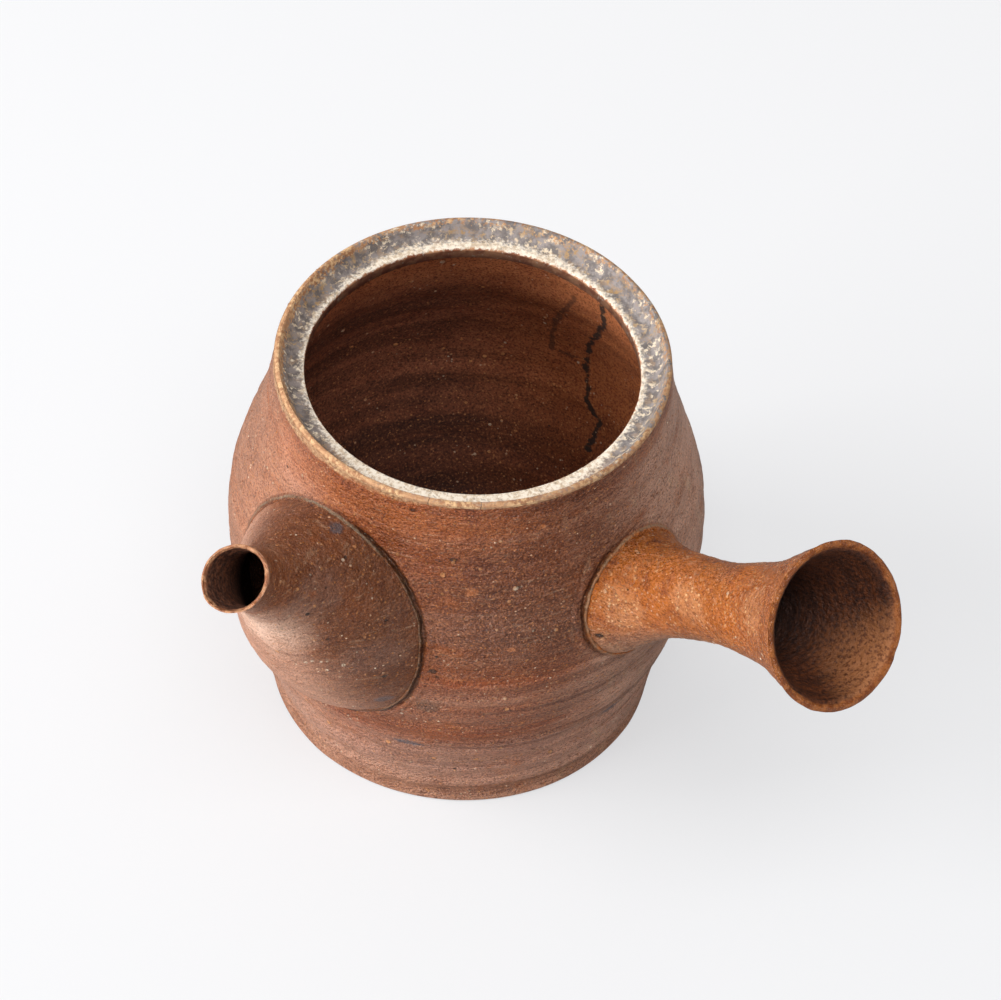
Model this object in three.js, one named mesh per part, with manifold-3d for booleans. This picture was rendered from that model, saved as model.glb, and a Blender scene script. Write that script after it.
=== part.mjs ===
import * as THREE from 'three';
import { mergeVertices } from 'three/addons/utils/BufferGeometryUtils.js';
import Module from 'manifold-3d';

// A side-handled teapot of thrown stoneware: a pot, a hollow spout and a hollow handle luted to its wall,
// and a pierced dome behind the spout that holds the leaves back. Lengths are in millimetres and angles in
// degrees. Z is up, and the origin is the middle of the flat foot. Azimuths run from -Y towards +X.

// Pot
const potHeight = 91.4;
const bellyRadius = 49;
const footRadius = 40.4;
const collarRadius = 39.5;
const potWall = 4.2;
const floorThickness = 5;
const footBevel = 0.9;
const floorRound = 9;

// Lip and lid seat
const lipRadius = 38.9;
const lipBevel = 1.5;
const openingRadius = 33;
const seatDrop = 3.3;
const seatWidth = 2.2;
const openingRound = 0.7;
const noseDepth = 2.2;
const undercutDrop = 10;

// Spout: its axis leaves the pot's wall at a drop below the lip and runs its length out to the mouth
const spoutAzimuth = -37;
const spoutRiseAngle = 43;
const spoutMouthTilt = 17;
const spoutSeatDrop = 28.1;
const spoutLength = 34.2;
const spoutMouthRadius = 7.1;
const spoutRootRadius = 25.2;
const spoutLipWall = 1.2;
const spoutRootWall = 3.2;
const spoutLipRound = 0.5;
const spoutNeckLength = 18;

// Handle, seated in the same way
const handleAzimuth = 48.5;
const handleRiseAngle = 30.6;
const handleSeatDrop = 30.4;
const handleLength = 56.4;
const handleMouthRadius = 16.7;
const handleMouthLean = 3;
const handleMouthTurn = -3;
const handleFlareLength = 16;
const handleLipWall = 1.3;
const handleRootWall = 3;
const handleLipRound = 0.5;

// Port in the pot's wall, at a drop below the spout's axis, and the strainer dome over it
const portDrop = 6.3;
const portRadius = 14;
const domeRadius = 20;
const domeDepth = 9.2;
const domeWall = 2.2;
const strainerHoleRadius = 1;
const strainerHoleRings = 3;
const holesInFirstRing = 6;

// Luting: the strip of soft clay that closes each joint
const spoutLutingWidth = 1.7;
const spoutLutingHeight = 1.6;
const handleLutingWidth = 1.4;
const handleLutingHeight = 1.5;
const strainerLutingWidth = 2.2;
const strainerLutingHeight = 1.5;

// Clearance between pieces, and the overrun of a cut past the face it opens
const gap = 0.3;
const overrun = 4;

// Facet counts
const potSides = 56;
const potOutlineSteps = 18;
const spoutSides = 36;
const spoutSteps = 13;
const handleSides = 32;
const handleSteps = 14;
const domeSides = 24;
const domeSteps = 7;
const holeSides = 7;
const roundSteps = 4;

// Outlines: heights and depths as shares of the piece's length, radii as shares of its named radius. A root
// share is how far a limb runs on behind the wall before it is trimmed to the pot, by its named radius, and
// the pitch share is the step between rings of holes, by the dome's arc from its top to its edge.
const potHeightShares = [0.09, 0.18, 0.27, 0.38, 0.5, 0.61, 0.72, 0.83, 0.92];
const potRadiusShares = [0.842, 0.874, 0.923, 0.974, 1, 0.98, 0.923, 0.858, 0.824];
const spoutDepthShares = [0.113, 0.262, 0.412, 0.562, 0.712, 0.844, 0.937, 1];
const spoutRadiusShares = [0.257, 0.4, 0.637, 0.86, 0.985, 1, 1, 1];
const spoutRootShare = 1.35;
const strainerPitchShare = 0.23;
const handleDepthShares = [0.09, 0.21, 0.33, 0.45, 0.58, 0.7, 0.82, 0.91, 1];
const handleRadiusShares = [0.865, 0.672, 0.575, 0.505, 0.515, 0.565, 0.71, 0.855, 0.94];
const handleRootShare = 0.58;

const clay = {
  pot: { color: 0x8d5440, roughness: 0.55, metalness: 0 },
  spout: { color: 0x8a5544, roughness: 0.55, metalness: 0 },
  handle: { color: 0x9a5438, roughness: 0.45, metalness: 0 },
  strainer: { color: 0x7c4636, roughness: 0.65, metalness: 0 },
  luting: { color: 0x6f5a4c, roughness: 0.8, metalness: 0 },
};

const wasm = await Module();
wasm.setup();

// Solids and geometries
function toSolid(geometry) {
  const bare = geometry.clone();
  bare.deleteAttribute('normal');
  bare.deleteAttribute('uv');
  const merged = mergeVertices(bare);
  return new wasm.Manifold(new wasm.Mesh({
    numProp: 3,
    vertProperties: merged.attributes.position.array,
    triVerts: Uint32Array.from(merged.index.array),
  }));
}

function toGeometry(solid) {
  const mesh = solid.getMesh();
  const geometry = new THREE.BufferGeometry();
  geometry.setAttribute('position', new THREE.BufferAttribute(mesh.vertProperties, 3));
  geometry.setIndex(new THREE.BufferAttribute(mesh.triVerts, 1));
  geometry.computeVertexNormals();
  return geometry;
}

// A solid turned about Z from an outline of radius and height that starts and ends on the axis
function turned(outline, sides) {
  const geometry = new THREE.LatheGeometry(outline, sides);
  geometry.rotateX(Math.PI / 2);
  return toSolid(geometry);
}

function placed(solid, frame) {
  return solid.transform(frame.toArray());
}

// The outline moved sideways by a distance, to the right of its run when positive
function offsetOutline(outline, distance) {
  return outline.map((point, i) => {
    const before = outline[Math.max(i - 1, 0)];
    const after = outline[Math.min(i + 1, outline.length - 1)];
    const run = after.clone().sub(before).normalize();
    return new THREE.Vector2(point.x + run.y * distance, point.y - run.x * distance);
  });
}

function splineThrough(points, steps) {
  return new THREE.SplineCurve(points).getPoints(steps);
}

// Pot: the outer wall, from the foot up to the bevel of the lip
function wallOutline() {
  const points = potHeightShares.map((share, i) => (
    new THREE.Vector2(bellyRadius * potRadiusShares[i], potHeight * share)
  ));
  points.unshift(new THREE.Vector2(footRadius, footBevel));
  points.push(new THREE.Vector2(collarRadius, potHeight - lipBevel));
  return splineThrough(points, potOutlineSteps);
}

// The radius of the pot's outer wall at a height
function wallRadius(height) {
  const wall = wallOutline();
  const above = wall.findIndex((point) => point.y > height);
  const low = wall[above - 1];
  const high = wall[above];
  return THREE.MathUtils.mapLinear(height, low.y, high.y, low.x, high.x);
}

// The frame of a limb whose axis leaves the wall at a height and runs out by a length: origin at its far
// end, Z along the axis, X level and Y on the upper side
function limbFrame(azimuth, rise, height, length) {
  const turn = THREE.MathUtils.degToRad(azimuth);
  const lift = THREE.MathUtils.degToRad(rise);
  const up = new THREE.Vector3(0, 0, 1);
  const out = new THREE.Vector3(Math.sin(turn), -Math.cos(turn), 0);
  const level = up.clone().cross(out);
  const axis = out.clone().multiplyScalar(Math.cos(lift)).addScaledVector(up, Math.sin(lift));
  const upper = axis.clone().cross(level);
  const seat = out.clone().multiplyScalar(wallRadius(height)).setZ(height);
  const frame = new THREE.Matrix4().makeBasis(level, upper, axis);
  return frame.setPosition(seat.addScaledVector(axis, length));
}

// The inner wall from the middle of the floor up to the edge of the opening
function cavityOutline() {
  const floorTop = floorThickness + floorRound;
  const undercut = potHeight - undercutDrop;
  const wall = offsetOutline(wallOutline(), -potWall);
  const straight = wall.filter((point) => point.y > floorTop && point.y < undercut);
  const heel = straight[0];
  const corner = new THREE.Vector2(heel.x - potWall / 2, floorThickness);
  const floorEdge = new THREE.Vector2(heel.x - floorRound, floorThickness);
  const round = new THREE.QuadraticBezierCurve(floorEdge, corner, heel).getPoints(roundSteps);
  const shoulder = straight[straight.length - 1];
  const noseTop = potHeight - seatDrop - openingRound;
  const nose = new THREE.Vector2(openingRadius, noseTop - noseDepth);
  const hollow = new THREE.Vector2(shoulder.x, (shoulder.y + nose.y) / 2);
  const neck = new THREE.QuadraticBezierCurve(shoulder, hollow, nose).getPoints(roundSteps);
  return [
    new THREE.Vector2(0, floorThickness),
    ...round,
    ...straight.slice(1, -1),
    ...neck,
    new THREE.Vector2(openingRadius, noseTop),
  ];
}

// The lip's crest and the dished seat, which ends in a flat ledge for the lid
function seatOutline() {
  const ledgeHeight = potHeight - seatDrop;
  const ledgeInner = openingRadius + openingRound;
  const ledgeOuter = ledgeInner + seatWidth;
  const crestInner = new THREE.Vector2(lipRadius - lipBevel, potHeight - openingRound);
  const dish = new THREE.Vector2((ledgeOuter + crestInner.x) / 2, ledgeHeight + openingRound / 2);
  return [
    new THREE.Vector2((lipRadius + collarRadius) / 2, potHeight - lipBevel / 3),
    new THREE.Vector2(lipRadius - lipBevel / 4, potHeight),
    ...new THREE.QuadraticBezierCurve(crestInner, dish, new THREE.Vector2(ledgeOuter, ledgeHeight))
      .getPoints(roundSteps),
    new THREE.Vector2(ledgeInner, ledgeHeight),
  ];
}

function potSolid() {
  const outline = [
    new THREE.Vector2(0, 0),
    new THREE.Vector2(footRadius - footBevel, 0),
    ...wallOutline(),
    ...seatOutline(),
    ...cavityOutline().reverse(),
  ];
  return turned(outline, potSides);
}

// The outside of the pot as one block, grown all round by a distance
function envelope(growth) {
  const wall = offsetOutline(wallOutline(), growth);
  const foot = wall[0];
  const top = wall[wall.length - 1];
  const outline = [
    new THREE.Vector2(0, -overrun),
    new THREE.Vector2(foot.x, -overrun),
    ...wall,
    new THREE.Vector2(top.x, potHeight + overrun),
    new THREE.Vector2(0, potHeight + overrun),
  ];
  return turned(outline, potSides);
}

// The space inside the pot as one block, drawn in all round by a distance
function cavity(inset) {
  const wall = offsetOutline(cavityOutline(), -inset);
  const top = wall[wall.length - 1];
  const outline = [
    new THREE.Vector2(0, wall[1].y),
    ...wall.slice(1),
    new THREE.Vector2(0, top.y),
  ];
  return turned(outline, potSides);
}

// Spout: sections across a tapering cone, the last ones tilted so that the mouth lies nearly level
function spoutSection(depth, radius) {
  const tilt = THREE.MathUtils.degToRad(spoutMouthTilt * Math.max(1 - depth / spoutNeckLength, 0));
  return Array.from({ length: spoutSides }, (_, i) => {
    const angle = (2 * Math.PI * i) / spoutSides;
    const side = radius * Math.cos(angle);
    const rise = radius * Math.sin(angle);
    return new THREE.Vector3(side, rise * Math.cos(tilt), -depth - rise * Math.sin(tilt));
  });
}

// A closed skin through a run of sections, each with the same count of points
function lofted(sections, closed) {
  const sides = sections[0].length;
  const positions = sections.flat();
  const faces = [];
  const bands = closed ? sections.length : sections.length - 1;
  for (let band = 0; band < bands; band += 1) {
    const here = band * sides;
    const next = ((band + 1) % sections.length) * sides;
    for (let i = 0; i < sides; i += 1) {
      const j = (i + 1) % sides;
      faces.push(here + i, here + j, next + j, here + i, next + j, next + i);
    }
  }
  if (!closed) {
    const first = positions.length;
    const last = (sections.length - 1) * sides;
    positions.push(middleOf(sections[0]), middleOf(sections[sections.length - 1]));
    for (let i = 0; i < sides; i += 1) {
      const j = (i + 1) % sides;
      faces.push(first, j, i, first + 1, last + i, last + j);
    }
  }
  const geometry = new THREE.BufferGeometry().setFromPoints(positions);
  geometry.setIndex(faces);
  return geometry;
}

function middleOf(section) {
  const sum = section.reduce((total, point) => total.add(point), new THREE.Vector3());
  return sum.divideScalar(section.length);
}

function spoutDepth() {
  return spoutLength + spoutRootRadius * spoutRootShare;
}

function spoutOutline() {
  const points = spoutDepthShares.map((share, i) => (
    new THREE.Vector2(spoutRootRadius * spoutRadiusShares[i], spoutDepth() * share)
  ));
  points.unshift(new THREE.Vector2(spoutMouthRadius, 0));
  return splineThrough(points, spoutSteps);
}

function spoutShell() {
  const outer = spoutOutline().slice(1);
  const inner = outer.map((point) => {
    const wall = THREE.MathUtils.lerp(spoutLipWall, spoutRootWall, point.y / spoutDepth());
    return new THREE.Vector2(point.x - wall, point.y);
  });
  const lip = spoutMouthRadius - spoutLipWall;
  const sections = [
    ...outer.reverse(),
    new THREE.Vector2(spoutMouthRadius, spoutLipRound),
    new THREE.Vector2(spoutMouthRadius - spoutLipWall / 3, 0),
    new THREE.Vector2(lip + spoutLipWall / 3, 0),
    new THREE.Vector2(lip, spoutLipRound),
    ...inner,
  ].map((point) => spoutSection(point.y, point.x));
  return lofted(sections, true);
}

function spoutBlock(growth) {
  const sections = spoutOutline().reverse().map((point) => spoutSection(point.y, point.x + growth));
  return lofted(sections, false);
}

function spoutSeatHeight() {
  return potHeight - spoutSeatDrop;
}

function spoutFrame() {
  return limbFrame(spoutAzimuth, spoutRiseAngle, spoutSeatHeight(), spoutLength);
}

function spoutSolid() {
  return toSolid(spoutShell().applyMatrix4(spoutFrame())).subtract(envelope(gap));
}

// Handle: a trumpet turned about its own axis, open at its mouth and hollow down to the pot's wall
function handleDepth() {
  return handleLength + handleMouthRadius * handleRootShare;
}

function handleOutline() {
  const points = handleDepthShares.map((share, i) => (
    new THREE.Vector2(handleMouthRadius * handleRadiusShares[i], -handleDepth() * share)
  ));
  points.unshift(new THREE.Vector2(handleMouthRadius, 0));
  return splineThrough(points, handleSteps).reverse();
}

// The mouth is cut a little off square: the flare leans up and turns towards the spout
function handleLean(vertex) {
  const near = Math.max(1 + vertex[2] / handleFlareLength, 0);
  const lean = Math.tan(THREE.MathUtils.degToRad(handleMouthLean));
  const turn = Math.tan(THREE.MathUtils.degToRad(handleMouthTurn));
  vertex[2] -= near * (vertex[1] * lean + vertex[0] * turn);
}

function handleBlock(growth) {
  const wall = handleOutline().map((point) => new THREE.Vector2(point.x + growth, point.y));
  const outline = [
    new THREE.Vector2(0, wall[0].y),
    ...wall,
    new THREE.Vector2(0, wall[wall.length - 1].y),
  ];
  return placed(turned(outline, handleSides).warp(handleLean), handleFrame());
}

function handleShell() {
  const outer = handleOutline().slice(0, -1);
  const inner = outer.map((point) => {
    const wall = THREE.MathUtils.lerp(handleLipWall, handleRootWall, -point.y / handleDepth());
    return new THREE.Vector2(point.x - wall, point.y);
  });
  const lip = handleMouthRadius - handleLipWall;
  const outline = [
    ...outer,
    new THREE.Vector2(handleMouthRadius, -handleLipRound),
    new THREE.Vector2(handleMouthRadius - handleLipWall / 3, 0),
    new THREE.Vector2(lip + handleLipWall / 3, 0),
    new THREE.Vector2(lip, -handleLipRound),
    ...inner.reverse(),
    outer[0].clone(),
  ];
  return placed(turned(outline, handleSides).warp(handleLean), handleFrame());
}

function handleFrame() {
  return limbFrame(handleAzimuth, handleRiseAngle, potHeight - handleSeatDrop, handleLength);
}

function handleSolid() {
  return handleShell().subtract(envelope(gap));
}

// Port: a round hole through the pot's wall, level and under the spout
function portHeight() {
  return spoutSeatHeight() - portDrop;
}

function portFrame() {
  return limbFrame(spoutAzimuth, 0, portHeight(), 0);
}

function portSolid() {
  const length = 2 * (potWall + overrun);
  const geometry = new THREE.CylinderGeometry(portRadius, portRadius, length, domeSides);
  geometry.rotateX(Math.PI / 2);
  geometry.applyMatrix4(portFrame());
  return toSolid(geometry);
}

// Strainer: a pierced dome that bulges into the pot from the inner wall around the port
function domeFrame() {
  return limbFrame(spoutAzimuth, 0, portHeight(), domeRadius - domeDepth - potWall);
}

function domeArc(radius) {
  return Array.from({ length: domeSteps + 1 }, (_, i) => {
    const angle = (Math.PI / 2) * (i / domeSteps);
    return new THREE.Vector2(radius * Math.sin(angle), -radius * Math.cos(angle));
  });
}

function domeBlock(radius) {
  const outline = [...domeArc(radius), new THREE.Vector2(0, 0)];
  return placed(turned(outline, domeSides), domeFrame());
}

function strainerHoles() {
  const holes = [];
  const edge = Math.acos(1 - domeDepth / domeRadius);
  for (let ring = 0; ring <= strainerHoleRings; ring += 1) {
    const count = Math.max(ring * holesInFirstRing, 1);
    const lean = ring * strainerPitchShare * edge;
    for (let i = 0; i < count; i += 1) {
      const hole = new THREE.CylinderGeometry(
        strainerHoleRadius,
        strainerHoleRadius,
        2 * domeWall,
        holeSides,
      );
      hole.translate(0, -domeRadius, 0);
      hole.rotateX(Math.PI / 2);
      hole.rotateX(lean);
      hole.rotateZ((2 * Math.PI * i) / count);
      hole.applyMatrix4(domeFrame());
      holes.push(toSolid(hole));
    }
  }
  return holes;
}

function strainerSolid() {
  const shell = domeBlock(domeRadius).subtract(domeBlock(domeRadius - domeWall));
  const dome = shell.intersect(cavity(gap));
  return strainerHoles().reduce((pierced, hole) => pierced.subtract(hole), dome);
}

// Luting strips: what lies close to the wall and close to the limb, clear of both
function lutingStrip(wallSkin, limbGrown, limbCleared) {
  return wallSkin.intersect(limbGrown).subtract(limbCleared);
}

function spoutLuting() {
  const skin = envelope(spoutLutingHeight + gap).subtract(envelope(gap));
  const grown = toSolid(spoutBlock(spoutLutingWidth + gap).applyMatrix4(spoutFrame()));
  const cleared = toSolid(spoutBlock(gap).applyMatrix4(spoutFrame()));
  return lutingStrip(skin, grown, cleared);
}

function handleLuting() {
  const skin = envelope(handleLutingHeight + gap).subtract(envelope(gap));
  return lutingStrip(skin, handleBlock(handleLutingWidth + gap), handleBlock(gap));
}

function strainerLuting() {
  const skin = cavity(gap).subtract(cavity(strainerLutingHeight + gap));
  const grown = domeBlock(domeRadius + strainerLutingWidth + gap);
  return lutingStrip(skin, grown, domeBlock(domeRadius + gap));
}

// Assembly
function piece(name, solid, finish) {
  const mesh = new THREE.Mesh(toGeometry(solid), new THREE.MeshStandardMaterial(finish));
  mesh.name = name;
  return mesh;
}

const teapot = new THREE.Group();
teapot.add(
  piece('pot', potSolid().subtract(portSolid()), clay.pot),
  piece('spout', spoutSolid(), clay.spout),
  piece('handle', handleSolid(), clay.handle),
  piece('strainer', strainerSolid(), clay.strainer),
  piece('spout_luting', spoutLuting(), clay.luting),
  piece('handle_luting', handleLuting(), clay.luting),
  piece('strainer_luting', strainerLuting(), clay.luting),
);

export default teapot;
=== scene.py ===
import functools
import math

import bmesh
import bpy
import numpy as np
from mathutils import Matrix, Vector
from mathutils.bvhtree import BVHTree


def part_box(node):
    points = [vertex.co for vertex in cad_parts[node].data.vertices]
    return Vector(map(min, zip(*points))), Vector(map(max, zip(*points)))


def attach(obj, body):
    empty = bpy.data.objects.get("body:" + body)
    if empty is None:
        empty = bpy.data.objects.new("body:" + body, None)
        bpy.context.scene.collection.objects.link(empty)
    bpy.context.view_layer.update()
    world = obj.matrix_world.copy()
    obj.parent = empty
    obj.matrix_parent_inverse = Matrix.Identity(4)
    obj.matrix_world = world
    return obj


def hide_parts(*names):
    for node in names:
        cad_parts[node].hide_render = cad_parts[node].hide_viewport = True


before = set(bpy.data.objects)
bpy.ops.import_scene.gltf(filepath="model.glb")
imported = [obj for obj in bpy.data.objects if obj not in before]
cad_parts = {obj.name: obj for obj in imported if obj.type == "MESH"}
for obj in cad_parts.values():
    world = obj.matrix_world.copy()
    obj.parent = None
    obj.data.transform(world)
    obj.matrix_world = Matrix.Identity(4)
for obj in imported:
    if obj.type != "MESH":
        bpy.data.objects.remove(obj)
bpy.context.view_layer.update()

MM = 0.001
UP = np.array([0, 0, 1.0])

# Pot: the outline of its wall, its lip and the seat for a lid
POT_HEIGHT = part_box("pot")[1].z
BELLY_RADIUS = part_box("pot")[1].y
FOOT_RADIUS = 40.4 * MM
COLLAR_RADIUS = 39.5 * MM
POT_WALL = 4.2 * MM
FLOOR_THICKNESS = 5 * MM
FLOOR_ROUND = 9 * MM
FOOT_BEVEL = 0.9 * MM
LIP_BEVEL = 1.5 * MM
SEAT_DROP = 3.3 * MM
OPENING_RADIUS = 33 * MM
UNDERCUT_DROP = 10 * MM
HEIGHT_SHARES = (0.09, 0.18, 0.27, 0.38, 0.5, 0.61, 0.72, 0.83, 0.92)
RADIUS_SHARES = (0.842, 0.874, 0.923, 0.974, 1, 0.98, 0.923, 0.858, 0.824)

# The run along the pot's surface at the foot, the lip, the dished seat, the opening and the middle of the floor
FOOT_RUN, LIP_RUN, SEAT_RUN, OPENING_RUN, FLOOR_RUN = 0.01, 0.97, 1.1, 2, 3

# Spout and handle: where each axis leaves the wall, how far it runs, and the outline along it
SPOUT = {
    "azimuth": -37, "rise": 43, "drop": 28.1 * MM, "length": 34.2 * MM, "root": 25.2 * MM,
    "mouth": 7.1 * MM, "depth": 68.2 * MM, "lip_wall": 1.25 * MM, "root_wall": 3.2 * MM,
    "depths": (0.113, 0.262, 0.412, 0.562, 0.712, 0.844, 0.937, 1),
    "radii": (0.257, 0.4, 0.637, 0.86, 0.985, 1, 1, 1),
    "tilt": 17, "neck": 18 * MM,
}
HANDLE = {
    "azimuth": 48.5, "rise": 30.6, "drop": 30.4 * MM, "length": 56.4 * MM, "root": 16.7 * MM,
    "mouth": 16.7 * MM, "depth": 66.1 * MM, "lip_wall": 2.3 * MM, "root_wall": 3 * MM,
    "depths": (0.09, 0.21, 0.33, 0.45, 0.58, 0.7, 0.82, 0.91, 1),
    "radii": (0.865, 0.672, 0.575, 0.505, 0.515, 0.565, 0.71, 0.855, 0.94),
    "lean": 3, "turn": -3, "flare": 16 * MM,
}
ROOT_SUNK = 1.3 * MM

# Strainer dome over the port behind the spout
PORT_DROP = 6.3 * MM
PORT_RADIUS = 14 * MM
DOME_RADIUS = 20 * MM
DOME_DEPTH = 9.2 * MM
DOME_WALL = 2.2 * MM
HOLE_RADIUS = 1 * MM
HOLE_STEP = 0.23
HOLE_RINGS = 3

RING_DEPTH = 0.95 * MM

# The camera that the photograph was taken from, fitted to the rim, belly and foot
LENS, SENSOR = 151.05, 36
FOCAL_PIXELS = 4200
PHOTO_MIDDLE = (500.5, 500)
SIGHT_STEPS = np.linspace(0.55, 1.15, 6001)[:, None]
CAMERA = (
    Matrix.Translation((0.006865, -0.569043, 0.690467))
    @ Matrix.Rotation(math.radians(41.58), 4, "X")
    @ Matrix.Rotation(math.radians(3.11), 4, "Z")
)


# ---- Outlines ----
def spline_through(points, steps):
    """Points on a smooth curve through the given ones, evenly stepped from knot to knot."""
    knots = np.array(points, float)
    padded = np.vstack([knots[:1], knots, knots[-1:]])
    places = np.linspace(0, len(knots) - 1, steps + 1)
    index = np.minimum(places.astype(int), len(knots) - 2)
    part = (places - index)[:, None]
    before, start, end, after = (padded[index + k] for k in range(4))
    leave, arrive = (end - before) / 2, (after - start) / 2
    return (
        (2 * start - 2 * end + leave + arrive) * part**3
        + (3 * end - 3 * start - 2 * leave - arrive) * part**2
        + leave * part + start
    )


def on_bow(start, corner, end, part):
    """The place at a part of the way along a bow from start to end, drawn towards a corner."""
    return start * (1 - part) ** 2 + corner * 2 * part * (1 - part) + end * part**2


def bowed(start, corner, end, steps):
    part = np.linspace(0, 1, steps + 1)[:, None]
    return on_bow(*(np.array(p, float) for p in (start, corner, end)), part)


def normals_of(outline):
    """Unit vectors across an outline of radius and height, to the right of its run."""
    run = np.gradient(outline, axis=0)
    run /= np.linalg.norm(run, axis=1)[:, None] + 1e-12
    return np.stack([run[:, 1], -run[:, 0]], axis=1)


def spaced(outline, step):
    """The outline with its points set evenly, about a step apart."""
    along = np.concatenate([[0], np.cumsum(np.linalg.norm(np.diff(outline, axis=0), axis=1))])
    places = np.linspace(0, along[-1], max(int(along[-1] / step), 1) + 1)
    return np.stack([np.interp(places, along, outline[:, k]) for k in range(2)], axis=1)


WALL = spline_through(
    [(FOOT_RADIUS, FOOT_BEVEL)]
    + [(BELLY_RADIUS * r, POT_HEIGHT * h) for r, h in zip(RADIUS_SHARES, HEIGHT_SHARES)]
    + [(COLLAR_RADIUS, POT_HEIGHT - LIP_BEVEL)],
    300,
)
INNER_WALL = WALL - normals_of(WALL) * POT_WALL


def wall_radius(height, wall=WALL):
    return np.interp(height, wall[:, 1], wall[:, 0])


def unit(vectors):
    return vectors / np.linalg.norm(vectors, axis=1)[:, None]


def wall_normals(places):
    """Unit vectors out of the pot's wall at places on it."""
    flat, up = (np.interp(places[:, 2], WALL[:, 1], across) for across in normals_of(WALL).T)
    ring = np.hypot(places[:, 0], places[:, 1]) + 1e-9
    return unit(np.stack([places[:, 0] / ring * flat, places[:, 1] / ring * flat, up], axis=1))


def pot_outline():
    """The whole outline of the pot, its run along the surface, and how deep the wheel marks are there."""
    top = POT_HEIGHT
    seat = top - SEAT_DROP
    foot = FOOT_RADIUS - FOOT_BEVEL
    under = spaced(np.array([(0, 0), (foot, 0)]), 3 * MM)
    bevel = bowed((foot, 0), (FOOT_RADIUS, 0), (FOOT_RADIUS, FOOT_BEVEL), 4)
    wall = spaced(WALL, 0.75 * MM)
    crown = (38.1 * MM, top - 0.1 * MM)
    lip = spline_through(
        [(COLLAR_RADIUS, top - LIP_BEVEL), (39.42 * MM, top - 0.95 * MM), (39.15 * MM, top - 0.4 * MM),
         (38.65 * MM, top - 0.08 * MM), crown],
        8,
    )
    ledge = (35.9 * MM, seat), (33.8 * MM, seat - 0.03 * MM)
    dish = np.vstack([
        bowed(crown, (36.7 * MM, seat + 0.2 * MM), ledge[0], 8)[1:],
        bowed(ledge[0], (34.8 * MM, seat), ledge[1], 5)[1:],
        bowed(ledge[1], (OPENING_RADIUS, seat), (OPENING_RADIUS, seat - 0.9 * MM), 5)[1:],
    ])
    level = INNER_WALL[:, 1]
    inner = INNER_WALL[(level > FLOOR_THICKNESS + FLOOR_ROUND) & (level < top - UNDERCUT_DROP)]
    nose = (OPENING_RADIUS, seat - 2.9 * MM)
    heel, shoulder = inner[0], inner[-1]
    neck = bowed(nose, (shoulder[0], (shoulder[1] + nose[1]) / 2), shoulder, 10)
    floor = bowed(heel, (heel[0] - 2 * MM, FLOOR_THICKNESS), (heel[0] - FLOOR_ROUND, FLOOR_THICKNESS), 14)
    ground = spaced(np.array([floor[-1], (0, FLOOR_THICKNESS)]), 2 * MM)
    inside = np.vstack([neck, spaced(inner[::-1], 0.95 * MM)[1:], floor[1:], ground[1:]])
    parts = (
        (under, -1, -0.02, 0), (bevel[1:], -0.02, FOOT_RUN, 0.3), (wall[1:], FOOT_RUN, LIP_RUN, 1),
        (lip[1:], LIP_RUN, SEAT_RUN, 0.25), (dish, SEAT_RUN, OPENING_RUN, 0.2), (inside, OPENING_RUN, FLOOR_RUN, 1),
    )
    points = np.vstack([part for part, *_ in parts])
    run = np.concatenate([np.linspace(first, last, len(part)) for part, first, last, _ in parts])
    relief = np.concatenate([np.full(len(part), float(depth)) for part, *_, depth in parts])
    relief = np.convolve(np.pad(relief, 2, mode="edge"), np.ones(5) / 5, mode="valid")
    low = np.clip(1.3 - points[:, 1] / (68 * MM), 0.22, 1)
    low = low * np.where(points[:, 0] > BELLY_RADIUS - 0.8 * MM, 0.6, 1)
    relief = relief * np.where(run < 1, low, 0.45)
    lift = np.minimum(RING_DEPTH * 0.5, np.clip(BELLY_RADIUS - points[:, 0], 0, None) * 0.8)
    points = points + normals_of(points) * (lift * relief * (run < 1))[:, None]
    return points, run, relief


# ---- Node wiring ----
class Wire:
    """An output of a node. Sums written with it become math nodes in its tree."""

    def __init__(self, tree, socket):
        self.tree, self.socket = tree, socket

    def out(self, name):
        """Another output of the same node."""
        return Wire(self.tree, slot_of(self.socket.node.outputs, name))

    __add__ = lambda self, other: combined("ADD", self, other)
    __sub__ = lambda self, other: combined("SUBTRACT", self, other)
    __rsub__ = lambda self, other: combined("SUBTRACT", other, self)
    __mul__ = lambda self, other: combined("MULTIPLY", self, other)
    __truediv__ = lambda self, other: combined("DIVIDE", self, other)
    __gt__ = lambda self, other: combined("GREATER_THAN", self, other)
    __lt__ = lambda self, other: combined("LESS_THAN", self, other)
    __abs__ = lambda self: combined("ABSOLUTE", self)


def slot_of(sockets, key):
    """A socket by its number, or by its name: the one in use where several share it."""
    named = [socket for socket in sockets if socket.name == key and socket.enabled]
    return named[0] if named else sockets[key]


def wired(tree, kind, inputs=None, output=0, **settings):
    """The wire from a new node with its settings, each input fed by another wire or by a value."""
    node = tree.nodes.new(kind)
    for name, value in settings.items():
        setattr(node, name, value)
    for key, value in (inputs or {}).items():
        if isinstance(value, Wire):
            tree.links.new(value.socket, slot_of(node.inputs, key))
        else:
            slot_of(node.inputs, key).default_value = value
    return Wire(tree, slot_of(node.outputs, output)) if node.outputs else None


def tree_of(values):
    return next(value.tree for value in values if isinstance(value, Wire))


def is_vector(value):
    return value.socket.type == "VECTOR" if isinstance(value, Wire) else isinstance(value, tuple)


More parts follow.
